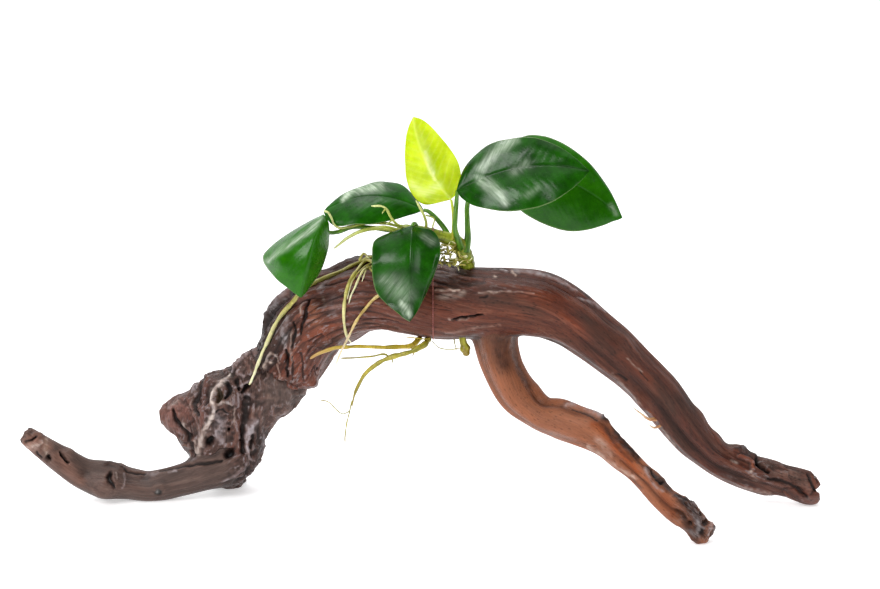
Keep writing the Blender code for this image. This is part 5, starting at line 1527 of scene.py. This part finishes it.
# %% Grow the roots
FAR_BEHIND = 15 * MM
WANDER, SIDE_WANDER = 0.35, 0.3
SWELLING, SUNK_IN = 0.3, 0.8
TIP_TAPER = (0.9, 0.7, 0.4)
TANGLE_ROWS = 34
# x and height between which a rootlet starts, in mm: most of them high, every third one low
TANGLE_HIGH, TANGLE_LOW = ((6.5, 14), (101.6, 110)), ((12, 18), (101, 105))


def skin_tree(*pieces):
    """A search tree over the finished surfaces of some pieces."""
    corners, faces = [], []
    for piece in pieces:
        faces += [[len(corners) + i for i in face.vertices] for face in piece.data.polygons]
        corners += [vert.co.copy() for vert in piece.data.vertices]
    return BVHTree.FromPolygons(corners, faces)


def root_line(rows, lying, radii, wander, seed):
    """A root's centre line. Rows that lie on the wood are dropped on to its skin."""
    held = [1.0 if row in lying else 0.0 for row in rows]
    table = smooth([(*row, hold) for row, hold in zip(rows, held)], 8)
    points = np.array([place(*row[:3]) for row in table])
    widths = np.interp(np.linspace(0, 1, len(points)), np.linspace(0, 1, len(radii)), radii) * MM
    widths *= 1 + SWELLING * noise(points, 2.2 * MM, seed)
    drift = noises(points, 5 * MM, seed + 1, seed + 2, seed + 3) * wander * MM
    points = points + drift * np.minimum(1, np.minimum(np.arange(len(points)), 8) / 8)[:, None]
    drop = np.zeros_like(points)
    for i in np.flatnonzero(table[:, 3] > 0.02):
        line_of_sight = (Vector(points[i]) - camera.location).normalized()
        spot, facing, _, _ = wood_skin.ray_cast(camera.location, line_of_sight)
        if spot is None or (spot - Vector(points[i])).length > FAR_BEHIND:
            spot, facing, _, _ = wood_skin.find_nearest(Vector(points[i]))
        drop[i] = (np.array(spot + facing * widths[i] * SUNK_IN) - points[i]) * min(table[i, 3], 1)
    for _ in range(6):
        drop[1:-1] = (drop[:-2] + 2 * drop[1:-1] + drop[2:]) / 4
    points += drop
    widths[-3:] *= TIP_TAPER
    return centre_line(points, widths)


def grow_root(name, root, seed):
    """A root with its side roots and hairs, joined into one piece."""
    rows = root["free"] + root["lying"] + root["tail"]
    line = root_line(rows, root["lying"], root["radii"], WANDER, seed)
    parts = [tube(f"living_root_{name}", line, 4)]
    for number, (branch, first, last, *on_wood) in enumerate(root["branches"]):
        lying = branch if on_wood else []
        line = root_line(branch, lying, (first, last), SIDE_WANDER, seed + 20 + 5 * number)
        parts.append(tube("side_root", line, 2))
    return joined(parts)


# a tangle of fine rootlets under the stem, at the foot of the stalks
tangle = random.Random(7)
for number in range(TANGLE_ROWS):
    x, height = (tangle.uniform(*span) for span in TANGLE_HIGH)
    if number % 3 == 0:
        x, height = (tangle.uniform(*span) for span in TANGLE_LOW)
    turn = tangle.uniform(0, 6.3)
    strand = [(x + 1.6 * i * math.cos(turn + 0.5 * i), tangle.uniform(4.5, 8.5),
               height + 1.3 * i * math.sin(turn + 0.5 * i)) for i in (-1, 0, 1, 2)]
    ROOTS["fork"]["branches"].append((strand, tangle.uniform(0.3, 0.6), 0.16))

wood_skin = skin_tree(arch_wood, stump)
roots = {name: grow_root(name, root, 300 + 60 * i) for i, (name, root) in enumerate(ROOTS.items())}
for name, root in roots.items():
    hand_in(root, "root", f"root_{name}")
splinters = joined([tube(f"torn_splinters_{number}", limb(rows), 3)
                    for number, rows in enumerate(SPLINTERS)])
splinters.name = splinters.data.name = "torn_splinters"
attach(splinters, "root")

# %% [markdown]
# The binding thread is a thin twisted one, pulled tight round the wood and over the stem, so it spans every
# hollow in a straight line. Its path is the convex hull of the wood's cross-section. Two plies are wound
# round that path.

# %% The binding thread
THREAD_AT = 4.6 * MM
PLY_RADIUS = 0.13 * MM
TWIST_LENGTH = 1.8 * MM
STEP = 0.3 * MM
LOOKED_FROM, FROM_AFAR = (0.017, 0.09), 60


def tight_loop(skin, at, clear):
    """The path of a thread pulled tight round a skin in the plane x = at, with a point at every step."""
    hits = []
    for x in (at - STEP, at, at + STEP):
        for angle in np.linspace(0, 2 * math.pi, 240, endpoint=False):
            way = Vector((0, math.cos(angle), math.sin(angle)))
            spot = skin.ray_cast(Vector((x, *LOOKED_FROM)) + way * FROM_AFAR * MM, -way)[0]
            hits.append(spot.yz)
    hull = [hits[i] for i in mathutils.geometry.convex_hull_2d(hits)]
    hull = np.array([spot for i, spot in enumerate(hull) if (spot - hull[i - 1]).length > 0.2 * MM])
    closed = np.vstack([hull, hull[:1]])
    lengths = np.concatenate([[0], np.cumsum(np.linalg.norm(np.diff(closed, axis=0), axis=1))])
    at_each = np.linspace(0, lengths[-1], int(lengths[-1] / STEP), endpoint=False)
    path = np.stack([np.interp(at_each, lengths, closed[:, axis]) for axis in (0, 1)], 1)
    ahead = np.roll(path, -1, 0) - np.roll(path, 1, 0)
    outwards = np.stack([ahead[:, 1], -ahead[:, 0]], 1)
    outwards /= np.linalg.norm(outwards, axis=1)[:, None]
    outwards *= np.sign((outwards * (path - path.mean(0))).sum(1))[:, None]
    return path + outwards * clear, outwards, at_each, lengths[-1]


loop, outwards, at_each, loop_length = tight_loop(skin_tree(arch_wood, rhizome), THREAD_AT, 2 * PLY_RADIUS)
turns = round(loop_length / TWIST_LENGTH)
plies = []
for phase in (0, math.pi):
    angle = 2 * math.pi * turns * at_each / loop_length + phase
    path = loop + outwards * (PLY_RADIUS * np.sin(angle))[:, None]
    centres = np.column_stack([THREAD_AT + PLY_RADIUS * np.cos(angle), path])
    radii = np.full(len(centres), PLY_RADIUS)
    plies.append(limb_curve(dict(centres=centres, radii=radii), 1, ring=True))
    bpy.ops.object.shade_smooth()
thread = joined(plies)
thread.name = thread.data.name = "tying_thread"
hand_in(thread, "thread", "binding_thread")
print("the thread is", round(loop_length / MM), "mm round, with", turns, "turns of its plies")

# %% [markdown]
# Stalks, stem and roots are living plant skin: smooth, a little moist, and never one even colour. The stem
# is yellow-green with brown scars in its rings. Stalks are deep green, the young leaf's stalk yellow. Roots
# are straw-yellow with green and orange stretches, and turn cream at the tip. The thread is dull red nylon.

# %% The finishes of stem, stalks, roots and thread
TIP_STRENGTH = 0.9
RING_WIDTH = 1.1 * MM
SCAR_BROWN = "#5a4a18"


def plant_skin(name, low, middle, high, tip, tip_from, size, roughness, scars=0.0):
    """Moist plant skin in three mottled colours, with its own colour from a share of its length on to the
    tip. size is the width of its mottles in mm, and scars is the strength of the brown in its rings."""
    skin, tree = blank_material(name)
    grain = stored(tree, "grain", "Vector")
    mottle = lumps(tree, size * MM, squeezed(tree, grain, (1 / 4, 1, 1)), Detail=4, Roughness=0.6)
    layer = ramp(tree, mottle, (0.33, low), (0.5, middle), (0.67, high))
    if scars:
        rings = lumps(tree, RING_WIDTH, squeezed(tree, grain, (1, 1 / 6, 1 / 6)), Detail=2)
        layer = mixed(tree, layer, SCAR_BROWN, spread(tree, rings, 0.52, 0.66, 0, scars))
    layer = mixed(tree, layer, tip, spread(tree, stored(tree, "along"), tip_from, 1.0, 0, TIP_STRENGTH))
    surface(tree, {"Roughness": roughness, "Subsurface Weight": 0.12, "Subsurface Radius": (0.6, 1.0, 0.3),
                   "Subsurface Scale": 0.8 * MM},
            {"Base Color": layer, "Normal": bump(tree, mottle, 0.4, 0.12 * MM)})
    return skin


SKINS = {
    "stem": ("ringed_rhizome_skin", "#5c6a10", "#84931c", "#a9b43a", "#8a9a2a", 0.8, 1.6, 0.4, 0.7),
    "stalk": ("smooth_stalk_skin", "#2c5206", "#44740c", "#5f8a1a", "#4c7c12", 0.7, 1.2, 0.35),
    "young_stalk": ("thin_young_stalk_skin", "#8c8a1e", "#a7a92e", "#c2c44a", "#c6d83c", 0.6, 1.2, 0.35),
    "root": ("pale_living_root_skin", "#7d7628", "#aba24a", "#d3cb80", "#efecc4", 0.6, 1.8, 0.45, 0.3),
    "air": ("green_air_root_skin", "#74801e", "#98a238", "#bcc466", "#d9dc9a", 0.5, 1.4, 0.42, 0.2),
    "golden": (
        "golden_hanging_root_skin", "#837c14", "#b39c26", "#d4be4c", "#b28a52", 0.62, 2.0, 0.42, 0.4),
    "tan": ("tan_living_root_skin", "#8f7434", "#c0a45c", "#dcc68c", "#ecdcc0", 0.7, 1.8, 0.45, 0.3),
    "olive": ("olive_hanging_root_skin", "#67690f", "#978e24", "#beb042", "#8f7c2c", 0.6, 1.8, 0.42, 0.4),
    "nub": ("golden_root_nub_skin", "#6a5a10", "#918b1e", "#b9b840", "#8a6f16", 0.6, 1.6, 0.42, 0.3),
    "torn": ("freshly_torn_wood", "#8a5230", "#bd8a5c", "#dfc09a", "#efe0c6", 0.35, 1.2, 0.5),
}
ROOT_SKINS = {"air_low": "air", "air_curl": "air", "air_up": "air", "strand": "air", "under_long": "golden",
              "hanging": "olive", "under_thin": "olive", "nub": "nub", "crossing": "tan"}
skins = {kind: plant_skin(*recipe) for kind, recipe in SKINS.items()}
splinters.data.materials.append(skins["torn"])
rhizome.data.materials.append(skins["stem"])
for name, stalk in stalks.items():
    stalk.data.materials.append(skins["young_stalk" if name == "young" else "stalk"])
for name, root in roots.items():
    root.data.materials.append(skins[ROOT_SKINS.get(name, "root")])

thread_dye, tree = blank_material("twisted_red_nylon")
fluff = lumps(tree, 1.0 * MM, (add_node(tree, "ShaderNodeTexCoord"), "Object"), Detail=3)
surface(tree, {"Roughness": 0.5, "Sheen Weight": 0.2},
        {"Base Color": ramp(tree, fluff, (0.35, "#7e3630"), (0.65, "#a25c50"))})
thread.data.materials.append(thread_dye)
print("finishes:", ", ".join(skin.name for skin in [*skins.values(), thread_dye]))
